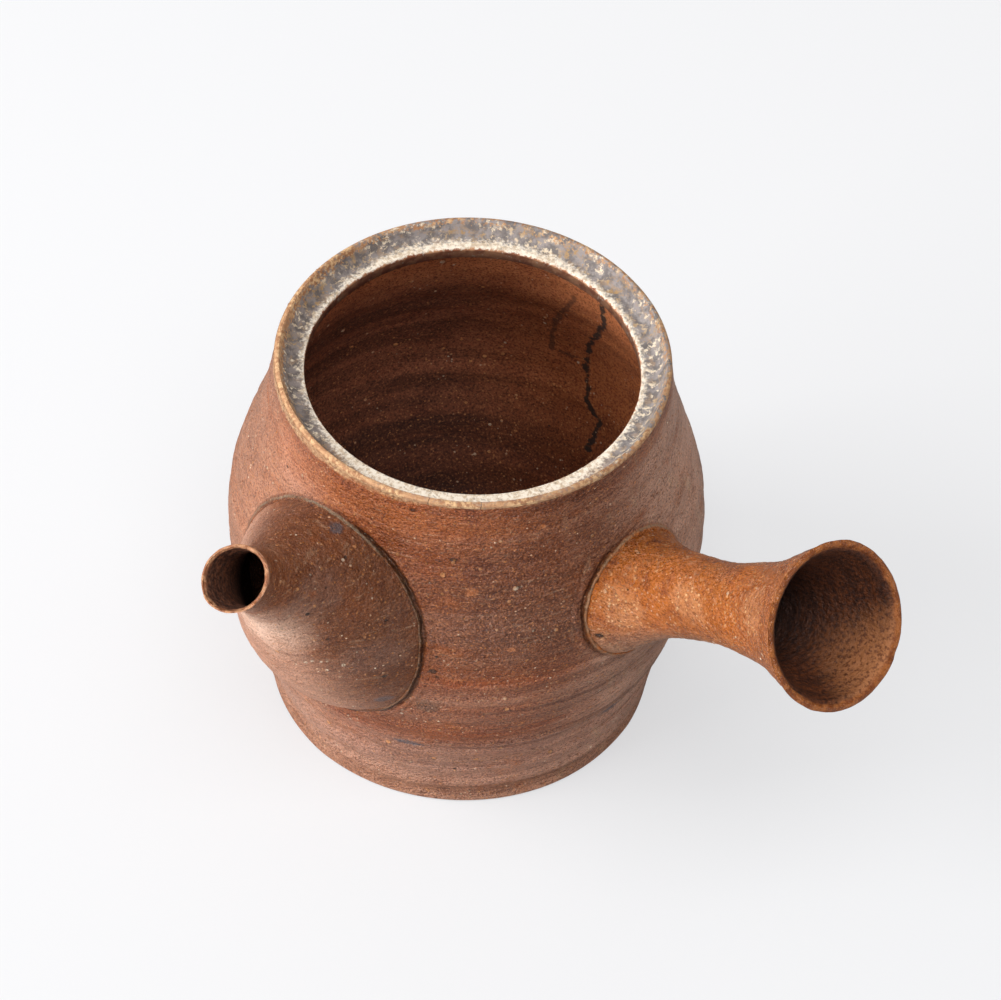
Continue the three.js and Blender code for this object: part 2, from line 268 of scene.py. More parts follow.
def combined(operation, *values, clamp=False):
    """The wire from a math node, which is a vector one if any of its values is a vector."""
    tree = tree_of(values)
    if not any(map(is_vector, values)):
        return wired(tree, "ShaderNodeMath", dict(enumerate(values)), operation=operation, use_clamp=clamp)
    slots = (0, 1)
    if operation == "MULTIPLY" and not is_vector(values[1]):
        operation, slots = "SCALE", (0, "Scale")
    output = "Value" if operation in ("LENGTH", "DOT_PRODUCT", "DISTANCE") else "Vector"
    return wired(tree, "ShaderNodeVectorMath", dict(zip(slots, values)), output, operation=operation)


def scaled(value, by, plus):
    return combined("MULTIPLY_ADD", value, by, plus)


def most(*wires):
    return functools.reduce(lambda one, other: combined("MAXIMUM", one, other), wires)


def vector_from(tree, **axes):
    return wired(tree, "ShaderNodeCombineXYZ", axes)


def axes_of(vector):
    x = wired(vector.tree, "ShaderNodeSeparateXYZ", {"Vector": vector})
    return x, x.out("Y"), x.out("Z")


def clouds(vector, scale, detail=2, rough=0.5):
    inputs = {"Vector": vector, "Scale": scale, "Detail": detail, "Roughness": rough}
    return wired(vector.tree, "ShaderNodeTexNoise", inputs, "Fac")


def between(value, low, high):
    """0 below low, 1 above high and smooth between; falling when low is above high."""
    rising = high > low
    return wired(value.tree, "ShaderNodeMapRange", {
        "Value": value, "From Min": min(low, high), "From Max": max(low, high),
        "To Min": 0 if rising else 1, "To Max": 1 if rising else 0,
    }, "Result", interpolation_type="SMOOTHSTEP")


def mixed(share, first, second, mode="MIX"):
    """Two colours mixed by a share; each is a wire or a written colour."""
    tree = tree_of((share, first, second))
    first, second = ((*colour, 1) if isinstance(colour, tuple) else colour for colour in (first, second))
    return wired(tree, "ShaderNodeMix", {0: share, 6: first, 7: second}, 2, data_type="RGBA", blend_type=mode)


def attribute(place, name, output="Fac"):
    return wired(place.tree, "ShaderNodeAttribute", output=output, attribute_name=name)


# ---- Shapes made by node trees ----
PRESSED = dict.fromkeys(("Ring Spacing", "Ring Depth", "Wobble", "Sandiness", "Seed"), "Float")


def shape_tree(name, inputs):
    """A tree that takes a mesh and gives one back, and a wire from each of its inputs."""
    tree = bpy.data.node_groups.new(name, "GeometryNodeTree")
    for label, kind in {"Geometry": "Geometry", **inputs, "Clay": "Material"}.items():
        tree.interface.new_socket(label, in_out="INPUT", socket_type="NodeSocket" + kind)
    tree.interface.new_socket("Geometry", in_out="OUTPUT", socket_type="NodeSocketGeometry")
    source = tree.nodes.new("NodeGroupInput")
    return tree, {socket.name: Wire(tree, socket) for socket in source.outputs}


def shape_end(tree, geometry, clay):
    """The last nodes of each tree: smooth shading, realized instances and the clay."""
    shaded = wired(tree, "GeometryNodeSetShadeSmooth", {"Geometry": geometry, "Shade Smooth": True})
    real = wired(tree, "GeometryNodeRealizeInstances", {"Geometry": shaded})
    coated = wired(tree, "GeometryNodeSetMaterial", {"Geometry": real, "Material": clay})
    tree.links.new(coated.socket, tree.nodes.new("NodeGroupOutput").inputs[0])
    return tree


def stored(tree, name, kind="FLOAT"):
    """A value kept on the mesh."""
    return wired(tree, "GeometryNodeInputNamedAttribute", {"Name": name}, "Attribute", data_type=kind)


def wheel_marks(direction, height, spacing, seed):
    """How deep the thrower's fingers pressed, from 0 to 1: scallops between wandering ridges, with finer lines."""
    around = direction * (0.8, 0.8, 0)
    turns = height / spacing + seed
    slow, quick = (vector_from(direction.tree, Z=turns * pace) for pace in (0.45, 5.0))
    drift = clouds(around + slow, 1, 2)
    scallop = abs(combined("SINE", scaled(drift, 2.2, turns) * math.pi))
    press = between(clouds(slow * 1.6 + around, 1.3, 1), 0.36, 0.62)
    fine = clouds(around * 3.0 + quick, 1, 2)
    return scaled(fine, 0.4, scallop * scaled(press, 0.85, 0.15) * 0.75)


def thrown_form():
    """A form thrown on the wheel: an outline turned through its sides, with rings and a slight wobble pressed in."""
    tree, given = shape_tree("thrown form", {"Outline": "Object", "Steps": "Int", "Sides": "Int", **PRESSED})
    outline = wired(tree, "GeometryNodeObjectInfo", {"Object": given["Outline"]}, "Geometry")
    sheet = wired(tree, "GeometryNodeMeshGrid", {
        "Size X": 1.0, "Size Y": 1.0, "Vertices X": given["Sides"] + 1, "Vertices Y": given["Steps"],
    }, "Mesh")
    position = wired(tree, "GeometryNodeInputPosition")
    x, y, _ = axes_of(position)
    angle = (x + 0.5) * math.tau
    row = combined("ROUND", (y + 0.5) * (given["Steps"] - 1))

    def from_outline(value, kind="FLOAT"):
        inputs = {"Geometry": outline, "Value": value, "Index": row}
        return wired(tree, "GeometryNodeSampleIndex", inputs, "Value", data_type=kind)

    radius, _, level = axes_of(from_outline(position, "FLOAT_VECTOR"))
    facing_out, _, facing_up = axes_of(from_outline(stored(tree, "facing", "FLOAT_VECTOR"), "FLOAT_VECTOR"))
    run, relief = (from_outline(stored(tree, name)) for name in ("run", "relief"))
    direction = vector_from(tree, X=combined("COSINE", angle), Y=combined("SINE", angle))
    upright = vector_from(tree, Z=level)
    even = direction * radius + upright
    out = direction * facing_out + vector_from(tree, Z=facing_up)
    within = run > 1.5
    hub = direction * combined("DIVIDE", radius, 8 * MM, clamp=True)
    spacing = given["Ring Spacing"] * scaled(within, 0.75, 1.0)
    rings = wheel_marks(hub, level, spacing, given["Seed"] + within * 3.3) * relief
    sway = clouds(hub + upright * 14.0, 0.9, 1)
    sink = rings * given["Ring Depth"] + sway * given["Wobble"]
    coarse = scaled(run > LIP_RUN, -0.8, run > 0.0)
    sink = scaled(clouds(even * 430.0, 1, 2, 0.6) * coarse, given["Sandiness"], sink)
    kept = wired(tree, "GeometryNodeStoreNamedAttribute", {
        "Geometry": sheet, "Name": "run", "Value": run,
    }, data_type="FLOAT")
    moved = wired(tree, "GeometryNodeSetPosition", {"Geometry": kept, "Position": even - out * sink})
    joined = wired(tree, "GeometryNodeMergeByDistance", {"Geometry": moved, "Distance": 0.01 * MM})
    return shape_end(tree, joined, given["Clay"])


def pierced_form():
    """A form with a round hole driven through it at each point of another object."""
    tree, given = shape_tree("pierced form", {
        "Holes": "Object", "Hole Radius": "Float", "Hole Length": "Float", "Hole Sides": "Int",
    })
    points = wired(tree, "GeometryNodeObjectInfo", {"Object": given["Holes"]}, "Geometry")
    through = stored(tree, "through", "FLOAT_VECTOR")
    turn = wired(tree, "FunctionNodeAlignRotationToVector", {"Vector": through}, axis="Z")
    punch = wired(tree, "GeometryNodeMeshCylinder", {
        "Vertices": given["Hole Sides"], "Radius": given["Hole Radius"], "Depth": given["Hole Length"],
    }, "Mesh")
    punches = wired(tree, "GeometryNodeInstanceOnPoints", {"Points": points, "Instance": punch, "Rotation": turn})
    cut = wired(tree, "GeometryNodeMeshBoolean", {
        0: given["Geometry"], "Mesh 2": punches,
    }, operation="DIFFERENCE", solver="MANIFOLD")
    return shape_end(tree, cut, given["Clay"])


def turned_surface():
    """Fine rings pressed into a finished wall, round the axis that its 'turned' places are measured from."""
    tree, given = shape_tree("turned surface", PRESSED)
    place = stored(tree, "turned", "FLOAT_VECTOR")
    x, y, z = axes_of(place)
    rings = wheel_marks(combined("NORMALIZE", vector_from(tree, X=x, Y=y)), z, given["Ring Spacing"], given["Seed"])
    sink = rings * given["Ring Depth"] + clouds(place * 70.0, 1, 1.5) * given["Wobble"]
    sink = scaled(clouds(place * 520.0, 1, 2, 0.6), given["Sandiness"], sink)
    inward = wired(tree, "GeometryNodeInputNormal") * (sink * -1.0)
    moved = wired(tree, "GeometryNodeSetPosition", {"Geometry": given["Geometry"], "Offset": inward})
    return shape_end(tree, moved, given["Clay"])


def grit_scatter():
    """Feldspar grains that stand a little out of a fired wall."""
    tree, given = shape_tree("grit scatter", {
        "Grains Per Square Metre": "Float", "Least Size": "Float", "Most Size": "Float", "Seed": "Int",
    })
    density = stored(tree, "grit") * given["Grains Per Square Metre"]
    dots = wired(tree, "GeometryNodeDistributePointsOnFaces", {
        "Mesh": given["Geometry"], "Density": density, "Seed": given["Seed"],
    }, "Points", distribute_method="RANDOM")
    grain = wired(tree, "GeometryNodeMeshIcoSphere", {"Radius": 1.0, "Subdivisions": 1}, "Mesh")
    size = wired(tree, "FunctionNodeRandomValue", {
        2: given["Least Size"], 3: given["Most Size"], "Seed": given["Seed"],
    }, "Value", data_type="FLOAT")
    flat = vector_from(tree, X=size, Y=size, Z=size) * (1.15, 0.85, 0.4)
    grains = wired(tree, "GeometryNodeInstanceOnPoints", {
        "Points": dots, "Instance": grain, "Rotation": dots.out("Rotation"), "Scale": flat,
    })
    return shape_end(tree, grains, given["Clay"])


# ---- Meshes and objects ----
def placed(name, data):
    thing = bpy.data.objects.new(name, data)
    bpy.context.scene.collection.objects.link(thing)
    return thing


def grown(name, mesh, tree, sizes):
    """The plain mesh that a tree makes of a mesh, as an object of its own."""
    maker = placed(name, mesh)
    modifier = maker.modifiers.new("shape", "NODES")
    modifier.node_group = tree
    for item in tree.interface.items_tree:
        if item.in_out == "INPUT" and item.name in sizes:
            modifier[item.identifier] = sizes[item.name]
    view = bpy.context.evaluated_depsgraph_get()
    view.update()
    made = bpy.data.meshes.new_from_object(maker.evaluated_get(view))
    maker.modifiers.remove(modifier)
    maker.data = made
    made.name = name
    return maker


def set_value(mesh, name, values):
    """Writes one number or one vector for each vertex."""
    if name in mesh.attributes:
        mesh.attributes.remove(mesh.attributes[name])
    kind, field = ("FLOAT", "value") if values.ndim == 1 else ("FLOAT_VECTOR", "vector")
    mesh.attributes.new(name, kind, "POINT").data.foreach_set(field, values.astype(np.float32).ravel())


def values_of(mesh, name):
    flat = np.zeros(len(mesh.vertices), np.float32)
    mesh.attributes[name].data.foreach_get("value", flat)
    return flat


def places_of(mesh):
    flat = np.zeros(len(mesh.vertices) * 3, np.float32)
    mesh.vertices.foreach_get("co", flat)
    return flat.reshape(-1, 3).astype(float)


def helper_points(name, points, **values):
    """Loose points with values on them, which a tree reads and which are taken away again."""
    mesh = bpy.data.meshes.new(name)
    mesh.from_pydata([tuple(p) for p in points], [], [])
    for key, value in values.items():
        set_value(mesh, key, np.array(value, float))
    return placed(name, mesh)


def looped_mesh(name, rings, closed=True):
    """A closed skin from rings of points: each joins the next, and the last joins the first or both are poles."""
    count, sides = rings.shape[:2]
    ring, side = np.meshgrid(np.arange(count if closed else count - 1), np.arange(sides), indexing="ij")
    here, there = ring * sides, (ring + 1) % count * sides
    turn = (side + 1) % sides
    faces = np.stack([here + side, here + turn, there + turn, there + side], axis=-1).reshape(-1, 4)
    mesh = bpy.data.meshes.new(name)
    mesh.from_pydata(rings.reshape(-1, 3).tolist(), [], faces.tolist())
    if not closed:
        skin = bmesh.new()
        skin.from_mesh(mesh)
        bmesh.ops.remove_doubles(skin, verts=skin.verts, dist=0.001 * MM)
        skin.to_mesh(mesh)
        skin.free()
    mesh.polygons.foreach_set("use_smooth", np.ones(len(mesh.polygons), bool))
    turn_faces_out(mesh)
    mesh.update()
    return mesh


def turn_faces_out(mesh):
    """Flips the faces of a closed skin whose volume comes out below zero."""
    mesh.calc_loop_triangles()
    corners = np.zeros(len(mesh.loop_triangles) * 3, np.int32)
    mesh.loop_triangles.foreach_get("vertices", corners)
    a, b, c = (places_of(mesh)[corners.reshape(-1, 3)[:, k]] for k in range(3))
    if np.einsum("ij,ij->i", a, np.cross(b, c)).sum() < 0:
        mesh.flip_normals()
        mesh.update()


# ---- Limbs: the spout and the handle ----
def outward(azimuth):
    """A level unit vector out of the pot at an azimuth in degrees, 0 to the front and growing to the right."""
    turn = math.radians(azimuth)
    return np.array([math.sin(turn), -math.cos(turn), 0])


def limb_frame(limb):
    """Origin at the mouth, Z out through it, X level and Y on the upper side, as rows of axes."""
    lift = math.radians(limb["rise"])
    out = outward(limb["azimuth"])
    level = np.cross(UP, out)
    axis = out * math.cos(lift) + UP * math.sin(lift)
    height = POT_HEIGHT - limb["drop"]
    seat = out * wall_radius(height) + UP * height
    return seat + axis * limb["length"], np.stack([level, np.cross(axis, level), axis])


def limb_radius(limb, depth):
    knots = [(limb["root"] * r, limb["depth"] * d) for r, d in zip(limb["radii"], limb["depths"])]
    outline = limb.setdefault("outline", spline_through([(limb["mouth"], 0)] + knots, 200))
    return np.interp(depth, outline[:, 1], outline[:, 0])


def limb_wall(limb, depth):
    return limb["lip_wall"] + (limb["root_wall"] - limb["lip_wall"]) * np.clip(depth / limb["depth"], 0, 1)


def limb_places(limb, depth, radius, angle):
    """Places at a depth behind the mouth and a radius and angle about the axis: in the limb's frame and the pot's."""
    side, rise = radius * np.cos(angle), radius * np.sin(angle)
    if "tilt" in limb:
        tilt = math.radians(limb["tilt"]) * np.clip(1 - depth / limb["neck"], 0, None)
        local = np.stack([side, rise * np.cos(tilt), -depth - rise * np.sin(tilt)], axis=-1)
    else:
        near = np.clip(1 - depth / limb["flare"], 0, None)
        lean, turn = (math.tan(math.radians(limb[key])) for key in ("lean", "turn"))
        local = np.stack([side, rise, -depth - near * (rise * lean + side * turn)], axis=-1)
    origin, axes = limb_frame(limb)
    return local, origin + local @ axes


def seat_depths(limb, angles, inner=False):
    """How deep behind the mouth the limb's outer or inner skin meets the pot's wall, at each angle."""
    depths = np.linspace(4 * MM, limb["depth"], 900)
    radii = limb_radius(limb, depths) - (limb_wall(limb, depths) if inner else 0)
    found = []
    for angle in angles:
        places = limb_places(limb, depths, radii, np.full(len(depths), angle))[1]
        gap = np.hypot(places[:, 0], places[:, 1]) - wall_radius(places[:, 2])
        i = int(np.argmax(gap < 0))
        part = gap[i - 1] / (gap[i - 1] - gap[i])
        found.append(depths[i - 1] + (depths[i] - depths[i - 1]) * part)
    return np.array(found)


def by_angle(angles, table):
    """A value that follows a table of degrees and values all the way round."""
    keys = sorted((a % 360, v) for a, v in table)
    return np.interp(np.degrees(angles) % 360, [a for a, _ in keys], [v for _, v in keys], period=360)


def limb_mesh(limb, name, sides, outer_rows, inner_rows, lip_wave, chips):
    """A hollow limb from its saddle on the pot's wall out to a rounded lip and back inside."""
    angles = np.linspace(0, math.tau, sides, endpoint=False)
    outer_seat, inner_seat = (seat_depths(limb, angles, inner) + ROOT_SUNK for inner in (False, True))
    half = limb["lip_wall"] / 2
    wave = sum(depth * MM * (1 + np.sin(angles * turns + shift)) / 2 for turns, depth, shift in lip_wave)
    for angle, width, depth in chips:
        off = (np.degrees(angles) - angle + 180) % 360 - 180
        wave = wave + depth * MM * np.exp(-(off / width) ** 2)
    rings, local_rings, from_lip, inside = [], [], [], []

    def add(depth, radius, hollow):
        local, places = limb_places(limb, depth + wave * np.exp(-depth / (2.2 * MM)), radius, angles)
        rings.append(places)
        local_rings.append(local)
        from_lip.append(np.broadcast_to(depth / MM, sides))
        inside.append(np.full(sides, float(hollow)))

    for part in np.linspace(1, 0, outer_rows):
        depth = half + (outer_seat - half) * part
        add(depth, limb_radius(limb, depth), 0)
    for turn in np.linspace(0, math.pi, 11)[1:-1]:
        depth = np.full(sides, half - half * math.sin(turn))
        add(depth, np.full(sides, limb["mouth"] - half + half * math.cos(turn)), 0.5 * (1 - math.cos(turn)))
    for part in np.linspace(0, 1, inner_rows):
        depth = half + (inner_seat - half) * part
        add(depth, limb_radius(limb, depth) - limb_wall(limb, depth), 1)
    mesh = looped_mesh(name, np.array(rings))
    set_value(mesh, "turned", np.array(local_rings).reshape(-1, 3))
    set_value(mesh, "lip", np.array(from_lip).ravel())
    set_value(mesh, "hollow", np.array(inside).ravel())
    return mesh, angles, outer_seat - ROOT_SUNK


def towards(vectors, side):
    """The vectors, each turned about where it points away from its side."""
    return vectors * np.sign(np.einsum("ij,ij->i", vectors, side))[:, None]


def seam_strip(limb, name, angles, seats, skin, up_limb, on_wall, ridge, opened):
    """The clay smeared into a seam, swept round it: up the limb, across the corner and out over the wall's skin.

    Where the seam is open the corner stays a groove, with a low ridge of pushed-up clay beyond it.
    """
    radii = limb_radius(limb, seats)
    seam = limb_places(limb, seats, radii, angles)[1]
    up = unit(limb_places(limb, seats - 1 * MM, limb_radius(limb, seats - 1 * MM), angles)[1] - seam)
    normal = wall_normals(seam)
    along = np.roll(seam, -1, axis=0) - np.roll(seam, 1, axis=0)
    across = towards(unit(np.cross(along, normal)), limb_places(limb, seats, radii + 1 * MM, angles)[1] - seam)
    limb_out = towards(unit(np.cross(up, along)), across)
    rise, reach, crest = (by_angle(angles, table) * MM for table in (up_limb, on_wall, ridge))
    wander = 1 + 0.22 * np.sin(angles * 7 + 1) + 0.18 * np.sin(angles * 13 + 2.2) + 0.12 * np.sin(angles * 29)
    rise, reach = rise * wander, reach * (1 + (wander - 1) * 0.7)
    crest = crest * (0.65 + 0.35 * np.sin(angles * 17 + 0.7) * np.sin(angles * 5))
    crest_at = (1.7 + 0.2 * np.sin(angles * 11)) * MM

    def on_skin(away, height):
        places = seam + across * away[:, None]
        out_there = wall_normals(places)
        for i, (place, out) in enumerate(zip(places, out_there)):
            hit = skin.ray_cast(Vector(place + out * 4 * MM), Vector(-out), 9 * MM)[0]
            if hit is not None:
                places[i] = hit
        return places + out_there * height[:, None]

    level = np.zeros(len(seam))
    start = seam + up * rise[:, None]
    finish = on_skin(reach, level + 0.02 * MM)
    corner = seam + (up + across) * (0.1 * MM)
    rows = [start - limb_out * (0.6 * MM), start - limb_out * (0.1 * MM)]
    gaps = [-rise, -rise]
    for part in np.linspace(0, 1, 10)[1:]:
        rows.append(on_bow(start, corner, finish, part))
        gaps.append(-rise * (1 - part) ** 2 + reach * part**2)
    edge = crest_at + 2.2 * MM
    for part in np.linspace(0, 1, 13)[1:]:
        away = reach + (edge - reach) * part
        hump = crest * np.exp(-(((away - crest_at) / (0.6 * MM)) ** 2))
        rows.append(on_skin(away, hump + 0.02 * MM - 0.12 * MM * part**2))
        gaps.append(away)
    rows += [on_skin(edge, level - 0.9 * MM), seam - normal * (1.2 * MM) - limb_out * (0.6 * MM)]
    gaps += [edge, level]
    mesh = looped_mesh(name, np.array(rows))
    set_value(mesh, "gap", np.array(gaps).ravel() / MM)
    set_value(mesh, "opened", np.tile(by_angle(angles, opened), len(rows)))
    origin, axes = limb_frame(limb)
    set_value(mesh, "turned", (places_of(mesh) - origin) @ axes.T)
    return mesh


# ---- Places read off the photograph ----
def line_of_sight(across, down):
    """Places along the line from the camera through a pixel of the photograph."""
    ray = ((across - PHOTO_MIDDLE[0]) / FOCAL_PIXELS, -(down - PHOTO_MIDDLE[1]) / FOCAL_PIXELS, -1)
    ray = np.array(CAMERA.to_3x3()) @ np.array(ray)
    return np.array(CAMERA.translation) + ray * SIGHT_STEPS


def seen_on_wall(across, down, inside=False):
    """The place on the pot's outer or inner wall that shows at a pixel."""
    places = line_of_sight(across, down)
    ring = np.hypot(places[:, 0], places[:, 1])
    if inside:
        reached = (ring > wall_radius(places[:, 2], INNER_WALL)) & (places[:, 1] > 0)
    else:
        reached = ring < wall_radius(places[:, 2])
    return tuple(places[int(np.argmax(reached & (places[:, 2] < POT_HEIGHT)))])


def seen_on_limb(limb, across, down):
    """The place on the spout's or the handle's outer skin that shows at a pixel."""
    places = line_of_sight(across, down)
    origin, axes = limb_frame(limb)
    local = (places - origin) @ axes.T
    reached = (np.hypot(local[:, 0], local[:, 1]) < limb_radius(limb, -local[:, 2])) & (local[:, 2] < 0)
    return tuple(places[int(np.argmax(reached))])


# ---- Clay and fire: colours and finishes ----
def tone(*percent):
    """A colour in percent of red, green and blue as it looks on screen, made linear."""
    return tuple(
        c / 12.92 if c <= 0.04045 else ((c + 0.055) / 1.055) ** 2.4 for c in (part / 100 for part in percent)
    )


IRON_RED = tone(60, 29.5, 11.5)
DEEP_RED = tone(42, 21.5, 12.5)
BURNT_ORANGE = tone(53, 27, 11)
PINK_TAN = tone(69, 47.5, 36.5)
MAUVE = tone(61, 42, 33)
FLAME_ORANGE = tone(66, 35, 13.5)
PALE_SAND = tone(82, 68, 55)
SPOUT_BROWN = tone(45.5, 25, 12)
HANDLE_ORANGE = tone(73, 40, 11)
INNER_RED = tone(60, 36, 25)
# Black of burnt-out pits and gouges, also used for painted shade deep inside the spout and handle.
SOOT_AND_SHADE = tone(16, 10, 8.5)
IRON_DRIP = tone(12, 12, 11)
SLATE_BLUE = tone(36, 37, 41)
CREAM = tone(92, 85, 75)
OCHRE = tone(66, 53, 37)
SLIP_GREEN = tone(58, 54, 45)
# Dark of the lip's cracks, and painted shade in a seam's open groove.
CRACK_DARK_AND_GROOVE_SHADE = tone(22.5, 15.5, 9)

DRAGGED = (260, 260, 1700)

# Bands of fire on the pot's front: middle and half width in millimetres, share and colour
FIRE_BANDS = (
    (91, 3, 0.45, DEEP_RED), (73.5, 3.2, 0.75, BURNT_ORANGE), (66.5, 4, 0.6, MAUVE),
    (58, 4, 0.5, BURNT_ORANGE), (45, 7, 0.5, MAUVE), (23, 8, 0.6, tone(68, 50, 43)),
)

# Marks by their pixels in the photograph and their size in millimetres
WALL_CHIPS = ((472, 593, 1.5), (383, 496, 1.3), (512, 650, 0.9), (543, 528, 0.8), (618, 552, 0.8))
WALL_GOUGES = ((432, 673, 1.0), (437, 679, 0.6), (412, 511, 0.6), (453, 561, 0.7), (519, 588, 0.5))
SPOUT_PITS = ((346, 557, 0.45), (308, 615, 0.6), (328, 640, 0.4), (385, 677, 0.7), (262, 640, 0.4), (331, 668, 0.35))
HANDLE_PITS = ((595, 580, 0.9), (599, 637, 1.1), (783, 600, 0.5), (618, 622, 0.5), (627, 590, 0.4), (666, 600, 0.35))
IRON_DRIPS = (
    (0.75, ((601, 304), (603, 326), (596, 337), (588, 346), (585, 368), (586, 400), (590, 411), (599, 423),
            (594, 434), (587, 449))),
    (0.7, ((574, 300), (556, 320), (551, 334), (552, 349))),
    (0.5, ((560, 352), (575, 358))),
)


def clay_start(name):
    """A new material, and the place on the object at each of its points."""
    material = bpy.data.materials.new(name)
    material.use_nodes = True
    material.node_tree.nodes.clear()
    return material, wired(material.node_tree, "ShaderNodeTexCoord", output="Object")


def grains_in(place, pitch, size, amount, stretch=(1, 1, 1)):
    """Round spots of a size at a pitch, both in millimetres, of which only an amount from 0 to 1 shows."""
    inputs = {"Scale": 1 / (pitch * MM), "Vector": place * stretch}
    cells = wired(place.tree, "ShaderNodeTexVoronoi", inputs, "Distance")
    lot = wired(place.tree, "ShaderNodeSeparateColor", {"Color": cells.out("Color")}, "Red")
    share = size / pitch
    ragged = scaled(clouds(place, 2.2 / (size * MM), 2), share * 0.7, cells)
    return between(ragged - lot.out("Green") * share, share * 0.55, share * 0.25) * (lot < amount)


def facing(place, azimuth, soft=1.0):
    """1 where the wall faces an azimuth, falling away round the pot."""
    ring = combined("NORMALIZE", place * (1, 1, 0))
    return between(combined("DOT_PRODUCT", ring, tuple(outward(azimuth))), 1 - soft, 1)


def patches(place, marks, ragged=0.35, full=0.55, limb=None):
    """Ragged patches: 1 in the middle of each, out to a share of its size.

    A mark is a pixel of the photograph, on the pot's wall or on a limb, and a width and height in millimetres.
    """
    shown = []
    for across, down, wide, tall in marks:
        centre = seen_on_limb(limb, across, down) if limb else seen_on_wall(across, down)
        wide, tall = wide * MM, tall * MM
        away = combined("LENGTH", (place - centre) * (1 / wide, 1 / wide, 1 / tall))
        edge = scaled(clouds(place, 2.5 / min(wide, tall), 3, 0.6), ragged * 2, -ragged)
        shown.append(between(away + edge, 1.0, full))
    return most(*shown)


def dabs(place, marks, wide, tall, ragged, limb=None):
    """Small patches, each with one size that its width and height are shares of."""
    return patches(place, [(x, y, size * wide, size * tall) for x, y, size in marks], ragged, limb=limb)


def hairline(place, azimuth):
    """A crack straight up and down at an azimuth, a hair wide."""
    out = outward(azimuth)
    side = combined("DOT_PRODUCT", place, (-out[1], out[0], 0))
    off = abs(side + scaled(clouds(place, 500, 3), 0.8 * MM, -0.4 * MM))
    return between(off, 0.14 * MM, 0.04 * MM) * (combined("DOT_PRODUCT", place, tuple(out)) > 0.0)


def trail(place, points, width):
    """A run of glaze or iron through places on the wall, ragged and swelling along its way."""
    swell = scaled(clouds(place, 620, 3, 0.65), 3.4 * width, -1.3 * width)
    shown = []
    for start, finish in zip(points, points[1:]):
        run = Vector(finish) - Vector(start)
        away = place - tuple(start)
        part = combined("DIVIDE", combined("DOT_PRODUCT", away, tuple(run)), run.length_squared, clamp=True)
        on_line = vector_from(place.tree, X=part * run.x, Y=part * run.y, Z=part * run.z)
        shown.append(between(combined("DISTANCE", away, on_line) - swell, width * 0.9, width * 0.3))
    return most(*shown)


def layered(colour, *coats):
    """Coats on a colour in turn: each a share of a paint, or of the colour itself brought down to a level."""
    for share, coat in coats:
        if isinstance(coat, float):
            coat = mixed(1.0, colour, (coat, coat * 0.8, coat * 0.66), "MULTIPLY")
        colour = mixed(share, colour, coat)
    return colour


def fired(place, colour, grainy=1.0):
    """The mottling that all the clay shares: clouds, hazes of mauve and orange, drag lines and a fine grain."""
    big = between(clouds(place, 38, 3, 0.55), 0.38, 0.66)
    mottle = clouds(place, 140, 4, 0.6)
    drag = clouds(place * DRAGGED, 1, 4, 0.7)
    grain = clouds(place * (1, 1, 1.4), 2100, 3, 0.7)
    return layered(
        colour, (big, mixed(1.0, colour, (1.17, 1.13, 1.1), "MULTIPLY")),
        (between(clouds(place, 82, 4, 0.6), 0.52, 0.66) * 0.22, MAUVE),
        (between(mottle, 0.5, 0.3) * 0.55, 0.7),
        (between(mottle, 0.58, 0.74) * 0.5, FLAME_ORANGE),
        (between(drag, 0.46, 0.36) * 0.7, 0.58),
        (between(drag, 0.56, 0.68) * 0.28, PALE_SAND),
        (between(grain, 0.52, 0.36) * grainy, 0.42),
        (between(grain, 0.54, 0.66) * (0.5 * grainy), tone(82, 54, 34)),
    )


def speckled(place, colour, pale=1.0, dark=1.0):
    """Feldspar specks and burnt-out pits, with the height that they give the surface."""
    crowd = scaled(clouds(place, 90, 2), 1.6, -0.3)
    tiny = grains_in(place, 0.9, 0.24, 0.5 * pale)
    small = grains_in(place, 1.8, 0.38, crowd * (0.75 * pale))
    large = grains_in(place, 4.6, 0.6, 0.42 * pale)
    pits = grains_in(place, 5.2, 0.42, 0.4 * dark, (1, 1, 1.5))
    flecks = grains_in(place, 1.5, 0.2, 0.4 * dark)
    tint = mixed(between(clouds(place, 260, 1), 0.52, 0.72), tone(85, 58, 36), CREAM)
    grains = (tiny * 0.5, tint), (small * 0.6, tint), (large * 0.75, tint)
    return layered(colour, *grains, (flecks, 0.45), (pits * 0.8, SOOT_AND_SHADE)), most(small, large) - pits * 1.6


